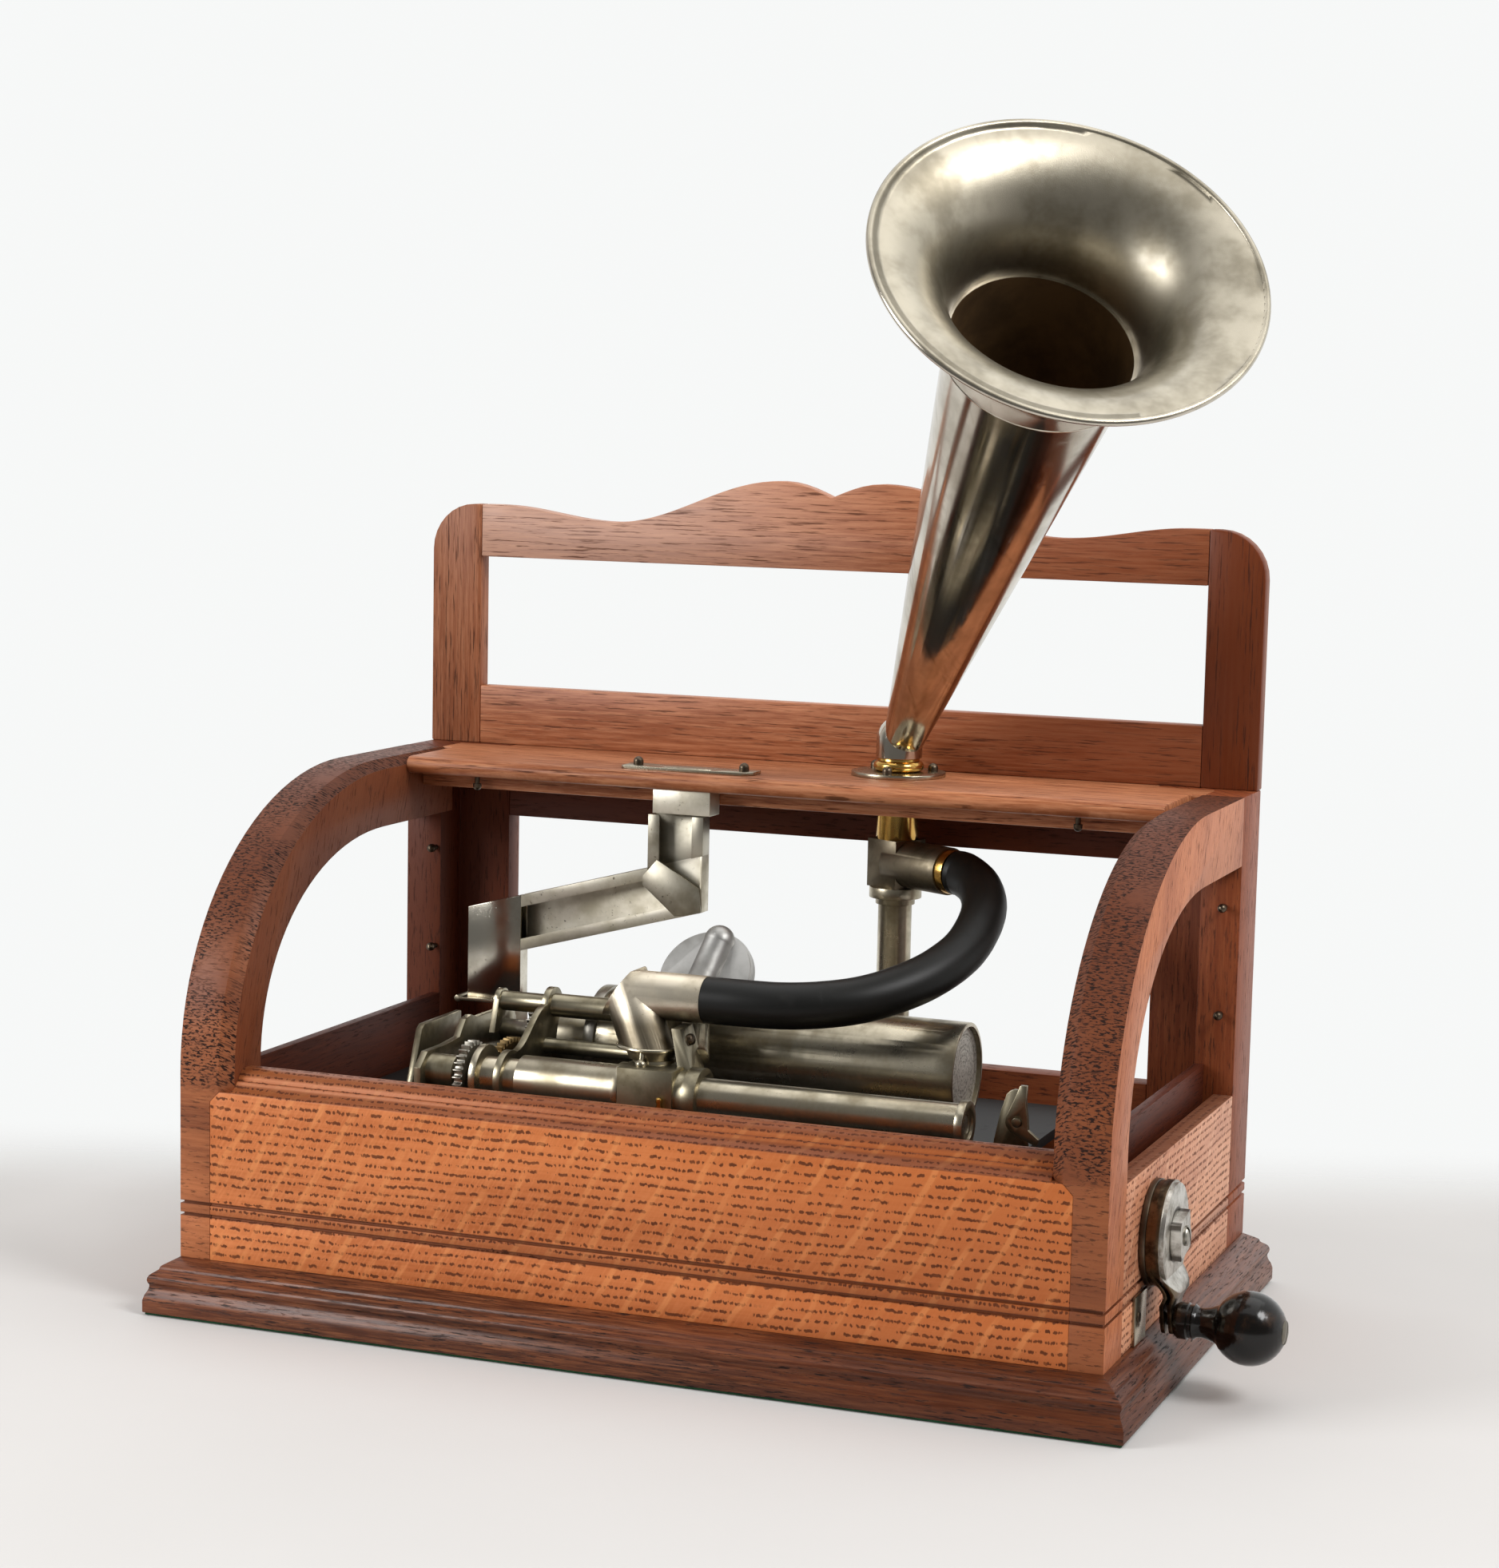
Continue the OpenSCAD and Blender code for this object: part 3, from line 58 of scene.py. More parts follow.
class Graph:
    """A material made of nodes, with short ways to add them. Lengths are in millimetres, in the CAD frame."""

    def __init__(self, name):
        self.mat = bpy.data.materials.new(name)
        self.mat.use_nodes = True
        self.tree = self.mat.node_tree
        self.tree.nodes.clear()
        out = self.tree.nodes.new("ShaderNodeOutputMaterial")
        self.bsdf = self.tree.nodes.new("ShaderNodeBsdfPrincipled")
        self.tree.links.new(self.bsdf.outputs[0], out.inputs[0])
        coord = self.tree.nodes.new("ShaderNodeTexCoord")
        self.place = self.vector("SCALE", coord.outputs["Object"], scale=1000.0)
        self.normal = coord.outputs["Normal"]
        self.x, self.y, self.z = self.split(self.place)
        self.face_x, self.face_y, self.face_z = self.split(self.normal)

    def split(self, vector):
        node = self.tree.nodes.new("ShaderNodeSeparateXYZ")
        self.tree.links.new(vector, node.inputs[0])
        return node.outputs

    def put(self, socket, value):
        if isinstance(value, bpy.types.NodeSocket):
            self.tree.links.new(value, socket)
        else:
            socket.default_value = value

    def set(self, **values):
        for key, value in values.items():
            self.put(self.bsdf.inputs[key.replace("_", " ")], value)

    def math(self, op, a, b=0.0, clamp=False):
        node = self.tree.nodes.new("ShaderNodeMath")
        node.operation = op
        node.use_clamp = clamp
        self.put(node.inputs[0], a)
        self.put(node.inputs[1], b)
        return node.outputs[0]

    def add(self, a, b):
        return self.math("ADD", a, b)

    def mul(self, a, b):
        return self.math("MULTIPLY", a, b)

    def vector(self, op, a, b=(0.0, 0.0, 0.0), scale=1.0):
        node = self.tree.nodes.new("ShaderNodeVectorMath")
        node.operation = op
        self.put(node.inputs[0], a)
        if op == "SCALE":
            node.inputs["Scale"].default_value = scale
        else:
            self.put(node.inputs[1], b)
        return node.outputs["Value" if op in ("DOT_PRODUCT", "LENGTH") else "Vector"]

    def join(self, x, y, z=0.0):
        node = self.tree.nodes.new("ShaderNodeCombineXYZ")
        for socket, value in zip(node.inputs, (x, y, z)):
            self.put(socket, value)
        return node.outputs[0]

    def noise(self, vector, scale=1.0, detail=2.0, rough=0.5, warp=0.0):
        node = self.tree.nodes.new("ShaderNodeTexNoise")
        self.put(node.inputs["Vector"], vector)
        node.inputs["Scale"].default_value = scale
        node.inputs["Detail"].default_value = detail
        node.inputs["Roughness"].default_value = rough
        node.inputs["Distortion"].default_value = warp
        return node.outputs[0]

    def step(self, value, low, high):
        """0 below low and 1 above high, smoothly, or the other way round where low is the larger."""
        node = self.tree.nodes.new("ShaderNodeMapRange")
        node.interpolation_type = "SMOOTHSTEP"
        flip = low > high
        self.put(node.inputs["Value"], value)
        node.inputs["From Min"].default_value = min(low, high)
        node.inputs["From Max"].default_value = max(low, high)
        node.inputs["To Min"].default_value = 1.0 if flip else 0.0
        node.inputs["To Max"].default_value = 0.0 if flip else 1.0
        return node.outputs[0]

    def blend(self, fac, a, b):
        node = self.tree.nodes.new("ShaderNodeMix")
        node.data_type = "RGBA"
        self.put(node.inputs[0], fac)
        self.put(node.inputs[6], a)
        self.put(node.inputs[7], b)
        return node.outputs[2]

    def between(self, fac, a, b):
        """A number that goes from a to b as fac goes from 0 to 1."""
        return self.add(a, self.mul(fac, b - a))

    def bump(self, height, strength, distance_mm):
        node = self.tree.nodes.new("ShaderNodeBump")
        node.inputs["Strength"].default_value = strength
        node.inputs["Distance"].default_value = distance_mm * MM
        self.put(node.inputs["Height"], height)
        self.put(self.bsdf.inputs["Normal"], node.outputs[0])


def pore_rows(g, along, across, pitch, stroke, thick, group, fill=0.37):
    """Rows of short tapering strokes along the grain, broken into groups. Lengths in millimetres."""
    wave = g.noise(g.join(g.mul(along, 0.012), g.mul(across, 0.02), 3.0))
    level = g.math("DIVIDE", g.add(across, g.mul(g.add(wave, -0.5), pitch * 1.6)), pitch)
    row = g.math("FLOOR", level)
    off = g.add(g.math("FRACT", level), -0.5)
    body = g.noise(g.join(g.math("DIVIDE", along, stroke), g.mul(row, 7.31), 1.0), detail=2.0, rough=0.6)
    curl = g.noise(g.join(g.math("DIVIDE", along, 0.8 * stroke), g.mul(row, 3.17), 5.0), detail=1.0)
    off = g.add(off, g.mul(g.add(curl, -0.5), 0.5))
    width = g.step(body, 0.42, 0.56)
    edge = g.mul(width, 0.5 * thick / pitch)
    near = g.math("SUBTRACT", g.math("ABSOLUTE", off), edge)
    mark = g.mul(g.step(near, 0.06, -0.04), g.step(width, 0.05, 0.35))
    spread = g.noise(g.join(g.math("DIVIDE", along, group), g.mul(row, 7.9), 1.0), detail=1.0)
    return g.mul(mark, g.step(spread, fill, fill + 0.05))


def ray_flecks(g, along, across, angle, period, width):
    """Pale bands of a quarter-sawn board that cross the grain at an angle, wavy and broken."""
    c, s = math.cos(math.radians(angle)), math.sin(math.radians(angle))
    run = g.add(g.mul(along, c), g.mul(across, s))
    cross = g.add(g.mul(along, -s), g.mul(across, c))
    drift = g.noise(g.join(g.mul(along, 0.016), g.mul(across, 0.022), 4.0), detail=2.0)
    phase = g.add(g.math("DIVIDE", cross, period), g.mul(drift, 0.9))
    near = g.math("ABSOLUTE", g.add(g.math("FRACT", phase), -0.5))
    half = 0.5 * width / period
    band = g.step(near, 1.3 * half, 0.5 * half)
    breaks = g.noise(g.join(g.mul(run, 0.034), g.mul(g.math("FLOOR", phase), 5.7), 8.0), detail=2.0)
    return g.mul(band, g.step(breaks, 0.36, 0.58)), run, cross


def pore_lines(g, along, across, amount, fine=1.0):
    """Long thin pores along the grain, denser in some bands than in others."""
    thin = g.noise(g.join(g.mul(along, 0.1), g.mul(across, 0.95 * fine), 9.0), detail=3.0, rough=0.65)
    clear = g.noise(g.join(g.mul(along, 0.012), g.mul(across, 0.14), 5.0), detail=2.0)
    return g.mul(g.step(thin, 0.54, 0.64), g.mul(g.step(clear, 0.30, 0.52), amount))


def grain(g, along, across, tones, contrast=0.5):
    """Colour of plain wood between its dark and light tones, with broad bands and fine streaks."""
    broad = g.noise(g.join(g.mul(along, 0.006), g.mul(across, 0.035), 0.0), detail=3.0)
    fine = g.noise(g.join(g.mul(along, 0.03), g.mul(across, 0.6), 2.0), detail=5.0, rough=0.7)
    colour = g.blend(g.step(broad, 0.32, 0.66), tones["dark"], tones["tone"])
    colour = g.blend(g.mul(g.step(fine, 0.52, 0.32), contrast), colour, tones["dark"])
    return g.blend(g.mul(g.step(fine, 0.40, 0.72), contrast), colour, tones["light"]), fine


def varnish(g, colour, holes, fine, gloss, relief, coat=0.06):
    """Satin varnish over a wood colour, broken by its pores."""
    g.set(Base_Color=colour, Roughness=g.between(holes, gloss, 0.8), Specular_IOR_Level=0.22)
    g.set(Coat_Weight=coat, Coat_Roughness=0.3)
    g.bump(g.add(g.mul(fine, 0.25), g.mul(holes, -1.0)), relief, 0.35)
    return g.mat


# Bead round the case: the height of its middle and half its width, in millimetres
BEAD_Z = 46.0
BEAD_HALF = 2.6
# Tone of the painted shade in the grooves beside the bead; it also darkens the bead and the faces that look
# up
GROOVE_SHADE_TONE = srgb(92, 44, 22)
# Pale tone of a painted sheen on the front of the header's top rail
SHEEN_TONE = srgb(214, 184, 168)
# From where to where along X, in millimetres, painted shade darkens a wood toward the right and a painted
# sheen pales the header toward the left
BOARD_SHADE = (-180.0, 220.0)
OAK_SHADE = (-40.0, 150.0)
OAK_SHEEN = (60.0, -120.0)
ARCH_SHADE = (-150.0, 150.0)


def shade_grooves_darken_tops(g, colour, tone):
    """Paints shade into the grooves beside the bead, and darkens the bead itself and the faces that look up.
    """
    from_bead = g.math("ABSOLUTE", g.add(g.z, -BEAD_Z))
    groove = g.step(g.math("ABSOLUTE", g.add(from_bead, -BEAD_HALF)), 1.3, 0.5)
    bead = g.step(from_bead, BEAD_HALF + 0.6, BEAD_HALF - 0.6)
    ledge = g.step(g.face_z, 0.2, 0.7)
    flat = g.math("MAXIMUM", g.mul(bead, 0.35), g.mul(ledge, 0.75))
    return g.blend(g.math("MAXIMUM", g.mul(groove, 0.75), flat), colour, tone)


def oak_board(name, tones, lay, rows, fleck, shade=0.0, gloss=0.46):
    """Quarter-sawn oak: rows of dark strokes crossed by pale flecks."""
    g = Graph(name)
    along, across = lay(g)
    colour, fine = grain(g, along, across, tones, 0.3)
    ray, run, cross = ray_flecks(g, along, across, *fleck)
    sheen = g.noise(g.join(g.mul(run, 0.12), g.mul(cross, 0.9), 6.0), detail=2.0)
    colour = g.blend(g.mul(g.step(sheen, 0.42, 0.7), 0.3), colour, tones["light"])
    # Painted shade: the board grows darker toward the right
    colour = g.blend(g.mul(g.step(g.x, *BOARD_SHADE), shade), colour, tones["dark"])
    colour = g.blend(g.mul(ray, 0.3), colour, tones["ray"])
    # Painted shade in the grooves beside the bead; the bead and the faces that look up darker
    colour = shade_grooves_darken_tops(g, colour, GROOVE_SHADE_TONE)
    holes = g.mul(pore_rows(g, along, across, *rows), g.math("SUBTRACT", 1.0, g.mul(ray, 0.6)))
    depth = g.noise(g.place, 0.2, 2.0)
    colour = g.blend(g.mul(holes, g.between(depth, 0.65, 1.0)), colour, tones["pore"])
    return varnish(g, colour, holes, fine, gloss, 0.3)


def oak(name, tones, lay, pores=0.7, gloss=0.46, coat=0.06, contrast=0.5, pull=1.0,
        shade=0.0, painted_sheen=0.0, inside=0.0):
    """Plain oak with long pores. Its front gets painted shade toward the right and a painted sheen toward the
    left.
    """
    g = Graph(name)
    along, across = lay(g)
    colour, fine = grain(g, along, across, tones, contrast)
    fore = g.step(g.face_y, 0.4, -0.2)
    # Painted shade: the front grows darker toward the right
    colour = g.blend(g.mul(g.mul(g.step(g.x, *OAK_SHADE), fore), shade), colour, tones["deep"])
    # Painted sheen: the front grows paler toward the left
    colour = g.blend(g.mul(g.mul(g.step(g.x, *OAK_SHEEN), fore), painted_sheen), colour, SHEEN_TONE)
    # Painted shade on the faces that look forward or toward +X, but not on those that look toward -X
    if inside:
        colour = g.blend(g.mul(g.mul(fore, g.step(g.face_x, -0.7, -0.3)), inside), colour, tones["deep"])
    holes = pore_lines(g, g.mul(along, pull), across, pores)
    return varnish(g, g.blend(holes, colour, tones["pore"]), holes, fine, gloss, 0.25, coat)


def oak_arch(name, face, side, low_z):
    """Arched post: mottled cross grain in front, long pores on its sides, paler below the sill, painted shade
    at right and inside.
    """
    g = Graph(name)
    bend = g.add(g.z, g.mul(g.y, 0.85))
    colour, fine = grain(g, g.x, bend, face, 0.35)
    patches = g.noise(g.join(g.mul(g.x, 0.42), g.mul(bend, 0.95), 3.0), detail=3.0, rough=0.55, warp=0.4)
    where = g.noise(g.join(g.mul(g.x, 0.05), g.mul(bend, 0.03), 1.0), detail=1.0)
    blots = g.mul(g.step(patches, 0.49, 0.59), g.step(where, 0.28, 0.46))
    hatch = g.mul(pore_lines(g, g.mul(g.x, 1.5), bend, 0.8, 0.8), 0.8)
    above = g.step(g.z, low_z - 2.0, low_z + 4.0)
    marks = g.math("MAXIMUM", g.mul(blots, above), hatch)
    colour = g.blend(g.mul(above, 0.6), colour, face["dark"])
    # Painted shade: darker toward the right arch
    colour = g.blend(g.mul(g.step(g.x, *ARCH_SHADE), 0.6), colour, face["deep"])
    # Painted shade in the grooves beside the bead; the bead and the faces that look up darker
    colour = shade_grooves_darken_tops(g, colour, GROOVE_SHADE_TONE)
    front = g.blend(marks, colour, face["pore"])
    length = g.add(g.z, g.mul(g.y, 0.3))
    breadth = g.add(g.y, g.mul(g.z, -0.3))
    plain = grain(g, length, breadth, side, 0.5)[0]
    lines = pore_lines(g, length, breadth, 0.75, 0.8)
    # Painted shade on the sides that face the middle of the case
    inner_side_shade = g.step(g.mul(g.face_x, g.math("SIGN", g.x)), -0.4, -0.8)
    plain = g.blend(g.mul(inner_side_shade, 0.75), plain, side["deep"])
    flank = g.blend(lines, plain, side["pore"])
    aside = g.step(g.math("ABSOLUTE", g.face_x), 0.75, 0.9)
    holes = g.add(g.mul(marks, g.math("SUBTRACT", 1.0, aside)), g.mul(lines, aside))
    return varnish(g, g.blend(aside, front, flank), holes, fine, 0.48, 0.3)


GRIME = (0.10, 0.08, 0.05, 1.0)


def metal(name, bright, dull, rough, wear, spots=0.0, spot_tone=GRIME, sanded=0.0, darker_below=None):
    """Plated or bare metal with uneven polish, dull patches, dark spots and a darkening below a height."""
    g = Graph(name)
    patch = g.noise(g.place, 0.045, 4.0, 0.6)
    cloud = g.step(patch, 0.38, 0.68)
    colour = g.blend(g.mul(cloud, wear), bright, dull)
    polish = g.between(cloud, rough, rough + 0.16 * wear)
    if spots:
        speck = g.noise(g.place, 0.55, 5.0, 0.7)
        where = g.step(g.noise(g.place, 0.06, 2.0), 0.42, 0.62)
        mask = g.mul(g.mul(g.step(speck, 0.60, 0.68), where), spots)
        colour = g.blend(mask, colour, spot_tone)
        polish = g.add(polish, g.mul(mask, 0.3))
    # Darker below the lower of two heights, blending between them
    if darker_below:
        colour = g.blend(g.mul(g.step(g.z, *darker_below), 0.9), colour, spot_tone)
    if sanded:
        sand = g.noise(g.place, 2.6, 2.0, 0.6)
        g.bump(sand, sanded, 0.12)
    g.set(Base_Color=colour, Metallic=1.0, Roughness=polish)
    return g.mat


def two_metals(name, inner, outer, x_mm, axis, reach, ring):
    """Dark metal with a bright part beyond a distance along X and near an axis, and a ring of grime on it."""
    g = Graph(name)
    cloud = g.step(g.noise(g.place, 0.12, 5.0, 0.65), 0.36, 0.68)
    away = g.vector("LENGTH", g.vector("SUBTRACT", g.join(0.0, g.y, g.z), (0.0,) + axis))
    outside = g.mul(g.step(g.x, x_mm - 0.1, x_mm + 0.1), g.step(away, reach + 0.4, reach - 0.4))
    worn = g.blend(cloud, inner[0], inner[1])
    bright = g.blend(cloud, outer[0], outer[1])
    grime = g.mul(g.step(g.math("ABSOLUTE", g.add(away, -ring)), 1.3, 0.4), 0.85)
    bright = g.blend(grime, bright, inner[1])
    g.set(Base_Color=g.blend(outside, worn, bright), Metallic=1.0, Roughness=g.between(cloud, 0.28, 0.44))
    return g.mat


# Foot of the horn in millimetres, and the way it points
HORN_FOOT = (46.6, 89.0, 243.8)
HORN_WAY = (0.4088, -0.6247, 0.6652)


def horn_metal(name, outside, inside, out_rough, in_rough, tarnish, lip, coat=0.0):
    """Spun nickel: polished outside, and inside satin or tarnished."""
    g = Graph(name)
    from_foot = g.vector("SUBTRACT", g.place, HORN_FOOT)
    along = g.vector("DOT_PRODUCT", from_foot, HORN_WAY)
    axis = g.vector("MULTIPLY", g.join(along, along, along), HORN_WAY)
    radial = g.vector("SUBTRACT", from_foot, axis)
    facing = g.vector("DOT_PRODUCT", g.normal, g.vector("NORMALIZE", radial))
    forward = g.vector("DOT_PRODUCT", g.normal, HORN_WAY)
    inner = g.step(g.math("SUBTRACT", g.mul(forward, lip), facing), 0.05, 0.15)
    cloud = g.step(g.noise(g.place, 0.035, 4.0, 0.6), 0.36, 0.68)
    flow = g.join(g.mul(along, 0.02), g.mul(facing, 3.0), g.mul(g.x, 0.12))
    streak = g.step(g.noise(flow, 1.0, 4.0, 0.65), 0.5, 0.75)
    out_tone = g.blend(g.math("MAXIMUM", g.mul(cloud, 0.6), streak), outside[0], outside[1])
    in_tone = g.blend(cloud, inside[0], inside[1])
    rough = g.add(g.between(inner, out_rough, in_rough), g.mul(cloud, 0.06))
    metallic = g.between(inner, 1.0, 1.0 - tarnish) if tarnish else 1.0
    g.set(Base_Color=g.blend(inner, out_tone, in_tone), Metallic=metallic, Roughness=rough)
    g.set(Coat_Weight=coat, Coat_Roughness=0.16)
    sand = g.noise(g.place, 2.6, 2.0, 0.6)
    g.bump(g.mul(sand, inner), 0.35, 0.12)
    return g.mat


def chased_plate(name, axis, bright, dull):
    """Pale plate with turned rings and fine punch marks round an axis along X."""
    g = Graph(name)
    away = g.vector("LENGTH", g.vector("SUBTRACT", g.join(0.0, g.y, g.z), (0.0,) + axis))
    rings = g.noise(g.join(g.mul(away, 1.1), 0.0, 0.0), 1.0, 3.0, 0.6)
    dots = g.noise(g.place, 0.9, 3.0, 0.6)
    mark = g.add(g.mul(g.step(rings, 0.44, 0.62), 0.5), g.mul(g.step(dots, 0.5, 0.62), 0.6))
    g.set(Base_Color=g.blend(mark, bright, dull), Metallic=0.55, Roughness=0.5)
    g.bump(mark, 0.25, 0.2)
    return g.mat


def wood(**tones):
    """Tones of a wood by name, from screen colours."""
    return {key: srgb(*tone) for key, tone in tones.items()}


front = wood(tone=(220, 130, 74), light=(232, 148, 92), dark=(184, 100, 50), pore=(72, 32, 14),
             ray=(240, 162, 98))
flank = wood(tone=(186, 112, 72), light=(206, 136, 94), dark=(160, 90, 56), pore=(80, 40, 22),
             deep=(104, 50, 26))
# Oak of the side panels, its tones made paler and greyer as a painted sheen
right_side = wood(tone=(208, 144, 108), light=(228, 172, 138), dark=(176, 112, 80), pore=(92, 50, 32),
                  ray=(240, 190, 156))
arch_face = wood(tone=(192, 116, 72), light=(208, 134, 88), dark=(124, 68, 42), pore=(38, 18, 10),
                 deep=(116, 60, 32))
frame_tone = wood(tone=(140, 72, 40), light=(162, 92, 54), dark=(116, 54, 28), pore=(54, 24, 12),
                  deep=(90, 40, 21))
header_tone = wood(tone=(184, 116, 78), light=(206, 142, 102), dark=(146, 82, 48), pore=(78, 38, 18),
                   deep=(112, 50, 22))
stile_tone = wood(tone=(158, 98, 66), light=(178, 120, 86), dark=(132, 74, 44), pore=(56, 24, 10),
                  deep=(104, 44, 14))
base_tone = wood(tone=(104, 52, 28), light=(150, 92, 58), dark=(66, 32, 17), pore=(28, 12, 6),
                 deep=(70, 33, 17))
inner_tone = wood(tone=(88, 37, 18), light=(104, 48, 24), dark=(66, 25, 11), pore=(34, 12, 6),
                  deep=(66, 25, 11))
# How much a step in depth counts beside a step across the grain
SLANT = 0.8


def lay(along, across, depth):
    """A way for the grain to run, from the names of its three axes."""
    def way(g):
        return getattr(g, along), g.add(getattr(g, across), g.mul(getattr(g, depth), SLANT))
    return way


WAY_X = lay("x", "z", "y")
WAY_Y = lay("y", "z", "x")
WAY_Z = lay("z", "x", "y")
BOARD = lay("x", "y", "z")
# Half the length and half the depth of the base, in millimetres
BASE_HALF = (217.0, 133.0)


def mitred(g):
    """Grain along the nearer edge of the base, so the moulding is mitred at the corners."""
    past_x = g.add(g.math("ABSOLUTE", g.x), -BASE_HALF[0])
    past_y = g.add(g.math("ABSOLUTE", g.y), -BASE_HALF[1])
    side = g.math("GREATER_THAN", past_x, past_y)
    fore = g.math("SUBTRACT", 1.0, side)
    along = g.add(g.mul(g.x, fore), g.mul(g.y, side))
    out = g.add(g.mul(g.y, fore), g.mul(g.x, side))
    return along, g.add(g.z, g.mul(g.math("ABSOLUTE", out), -0.6))


# The front panel carries painted shade toward the right
oak_front = oak_board("oak_front", front, WAY_X, rows=(4.0, 2.0, 1.25, 16.0, 0.3),
                      fleck=(60, 13.0, 2.6), shade=0.75)
oak_side = oak_board("oak_side", right_side, WAY_Y, rows=(3.4, 1.8, 1.2, 12.0, 0.32), fleck=(52, 11.0, 2.4))
oak_bent = oak_arch("oak_bent", arch_face, flank, 98.0)
oak_post = oak("oak_post", frame_tone, WAY_Z)
# Copies of the frame oak with painted shade on their front and inner faces
oak_post_shaded = oak("oak_post_shaded", frame_tone, WAY_Z, inside=0.85)
oak_rail = oak("oak_rail", frame_tone, WAY_X, pores=0.8)
oak_rail_shaded = oak("oak_rail_shaded", frame_tone, WAY_X, pores=0.8, inside=0.85)
oak_shelf = oak("oak_shelf", header_tone, BOARD, pores=0.85, contrast=0.9, pull=0.45)
# The header's fronts carry painted shade toward the right, where the horn's shadow falls, and the top rail a
# painted sheen toward the left
HEADER = dict(pores=0.8, contrast=0.7, pull=0.45)
oak_header_rail = oak("oak_header_rail", header_tone, WAY_X, coat=0.16, shade=0.75, **HEADER)
oak_header_top = oak("oak_header_top", header_tone, WAY_X, coat=0.16, shade=0.7, painted_sheen=0.45, **HEADER)
oak_header_stile = oak("oak_header_stile", stile_tone, WAY_Z, shade=0.9, **HEADER)
oak_inner = oak("oak_inner", inner_tone, WAY_Y, pores=0.6, gloss=0.5)
# The base's front carries painted shade toward the right
oak_base = oak("oak_base", base_tone, mitred, pores=0.95, gloss=0.34, coat=0.14, contrast=0.7, shade=0.6)

# Axes that run along X, as Y and Z in millimetres
CRANK_AXIS = (-52.0, 65.0)
MANDREL_AXIS = (10.0, 109.2)
# Shield on the crank: where it starts along X, how far it reaches from the axis, and its ring of grime
SHIELD_X = 213.4
SHIELD_REACH = 23.0
SHIELD_RING = 10.5

nickel = metal("nickel", srgb(190, 182, 162), srgb(126, 116, 94), 0.24, 0.7, spots=0.3)
nickel_turned = metal("nickel_turned", srgb(196, 187, 166), srgb(126, 116, 94), 0.27, 0.8, spots=0.35)
nickel_plate = metal("nickel_plate", srgb(164, 156, 134), srgb(92, 84, 64), 0.31, 0.9, spots=0.6)
# The elbow's satin nickel is darker toward its bottom
nickel_satin = metal("nickel_satin", srgb(224, 214, 194), srgb(176, 165, 144), 0.36, 0.9, spots=0.4,
                     darker_below=(142.0, 130.0))
nickel_bright = metal("nickel_bright", srgb(214, 208, 194), srgb(150, 141, 122), 0.13, 0.6, spots=0.5)
nickel_brown = metal("nickel_brown", srgb(136, 126, 107), srgb(80, 71, 55), 0.38, 0.9, spots=0.4)
dark_tin = metal("dark_tin", srgb(186, 180, 164), srgb(130, 123, 106), 0.36, 0.9, spots=0.7,
                 spot_tone=srgb(66, 56, 40))
worn_tin = metal("worn_tin", srgb(228, 222, 206), srgb(190, 182, 160), 0.42, 0.9, spots=0.7,
                 spot_tone=srgb(78, 66, 44))
HORN_OUT = (srgb(206, 198, 184), srgb(150, 140, 122))
horn_bright = horn_metal("horn_bright", HORN_OUT, (srgb(112, 86, 56), srgb(80, 60, 38)), 0.12, 0.5, 0.6, 0.0)
horn_satin = horn_metal("horn_satin", HORN_OUT, (srgb(182, 174, 156), srgb(136, 128, 110)), 0.13, 0.36,
                        0.0, 1.0, coat=0.5)
steel = metal("steel", srgb(170, 166, 156), srgb(104, 98, 86), 0.34, 0.8)
dark_steel = metal("dark_steel", srgb(104, 92, 78), srgb(58, 46, 36), 0.34, 0.9, spots=0.5)
crank_steel = two_metals("crank_steel", (srgb(110, 92, 70), srgb(52, 42, 32)),
                         (srgb(206, 202, 194), srgb(140, 133, 122)),
                         SHIELD_X, CRANK_AXIS, SHIELD_REACH, SHIELD_RING)
brass = metal("brass", srgb(222, 178, 98), srgb(160, 120, 58), 0.18, 0.7, spots=0.15)
aged_brass = metal("aged_brass", srgb(156, 132, 92), srgb(96, 78, 50), 0.36, 0.9, spots=0.4)
chased = chased_plate("chased", MANDREL_AXIS, srgb(226, 222, 212), srgb(120, 112, 98))
alloy = metal("alloy", srgb(184, 183, 180), srgb(136, 134, 130), 0.42, 0.8, sanded=0.25)


def coated(name, tone, worn, rough, wear_low, wear_high, grain_scale, grain_strength, coat=0.0, shine=0.5):
    """Lacquer, rubber, japan or felt: one colour that rubs through to another."""
    g = Graph(name)
    rub = g.step(g.noise(g.place, 0.09, 5.0, 0.65), wear_low, wear_high)
    g.set(Base_Color=g.blend(rub, tone, worn), Roughness=g.between(rub, rough, min(1.0, rough + 0.18)))
    g.set(Coat_Weight=coat, Coat_Roughness=0.12, Specular_IOR_Level=shine)
    g.bump(g.noise(g.place, grain_scale, 3.0, 0.6), grain_strength, 0.15)
    return g.mat


rubber = coated("rubber", srgb(7, 7, 5), srgb(18, 17, 14), 0.46, 0.52, 0.8, 1.6, 0.12, shine=0.34)
lacquer = coated("lacquer", srgb(14, 11, 9), srgb(56, 35, 18), 0.2, 0.52, 0.8, 0.3, 0.05,
                 coat=0.3, shine=0.25)
japan = coated("japan", srgb(13, 12, 11), srgb(24, 21, 18), 0.6, 0.55, 0.8, 0.8, 0.1)
felt = coated("felt", srgb(22, 62, 36), srgb(34, 84, 52), 0.95, 0.4, 0.7, 2.5, 0.5)


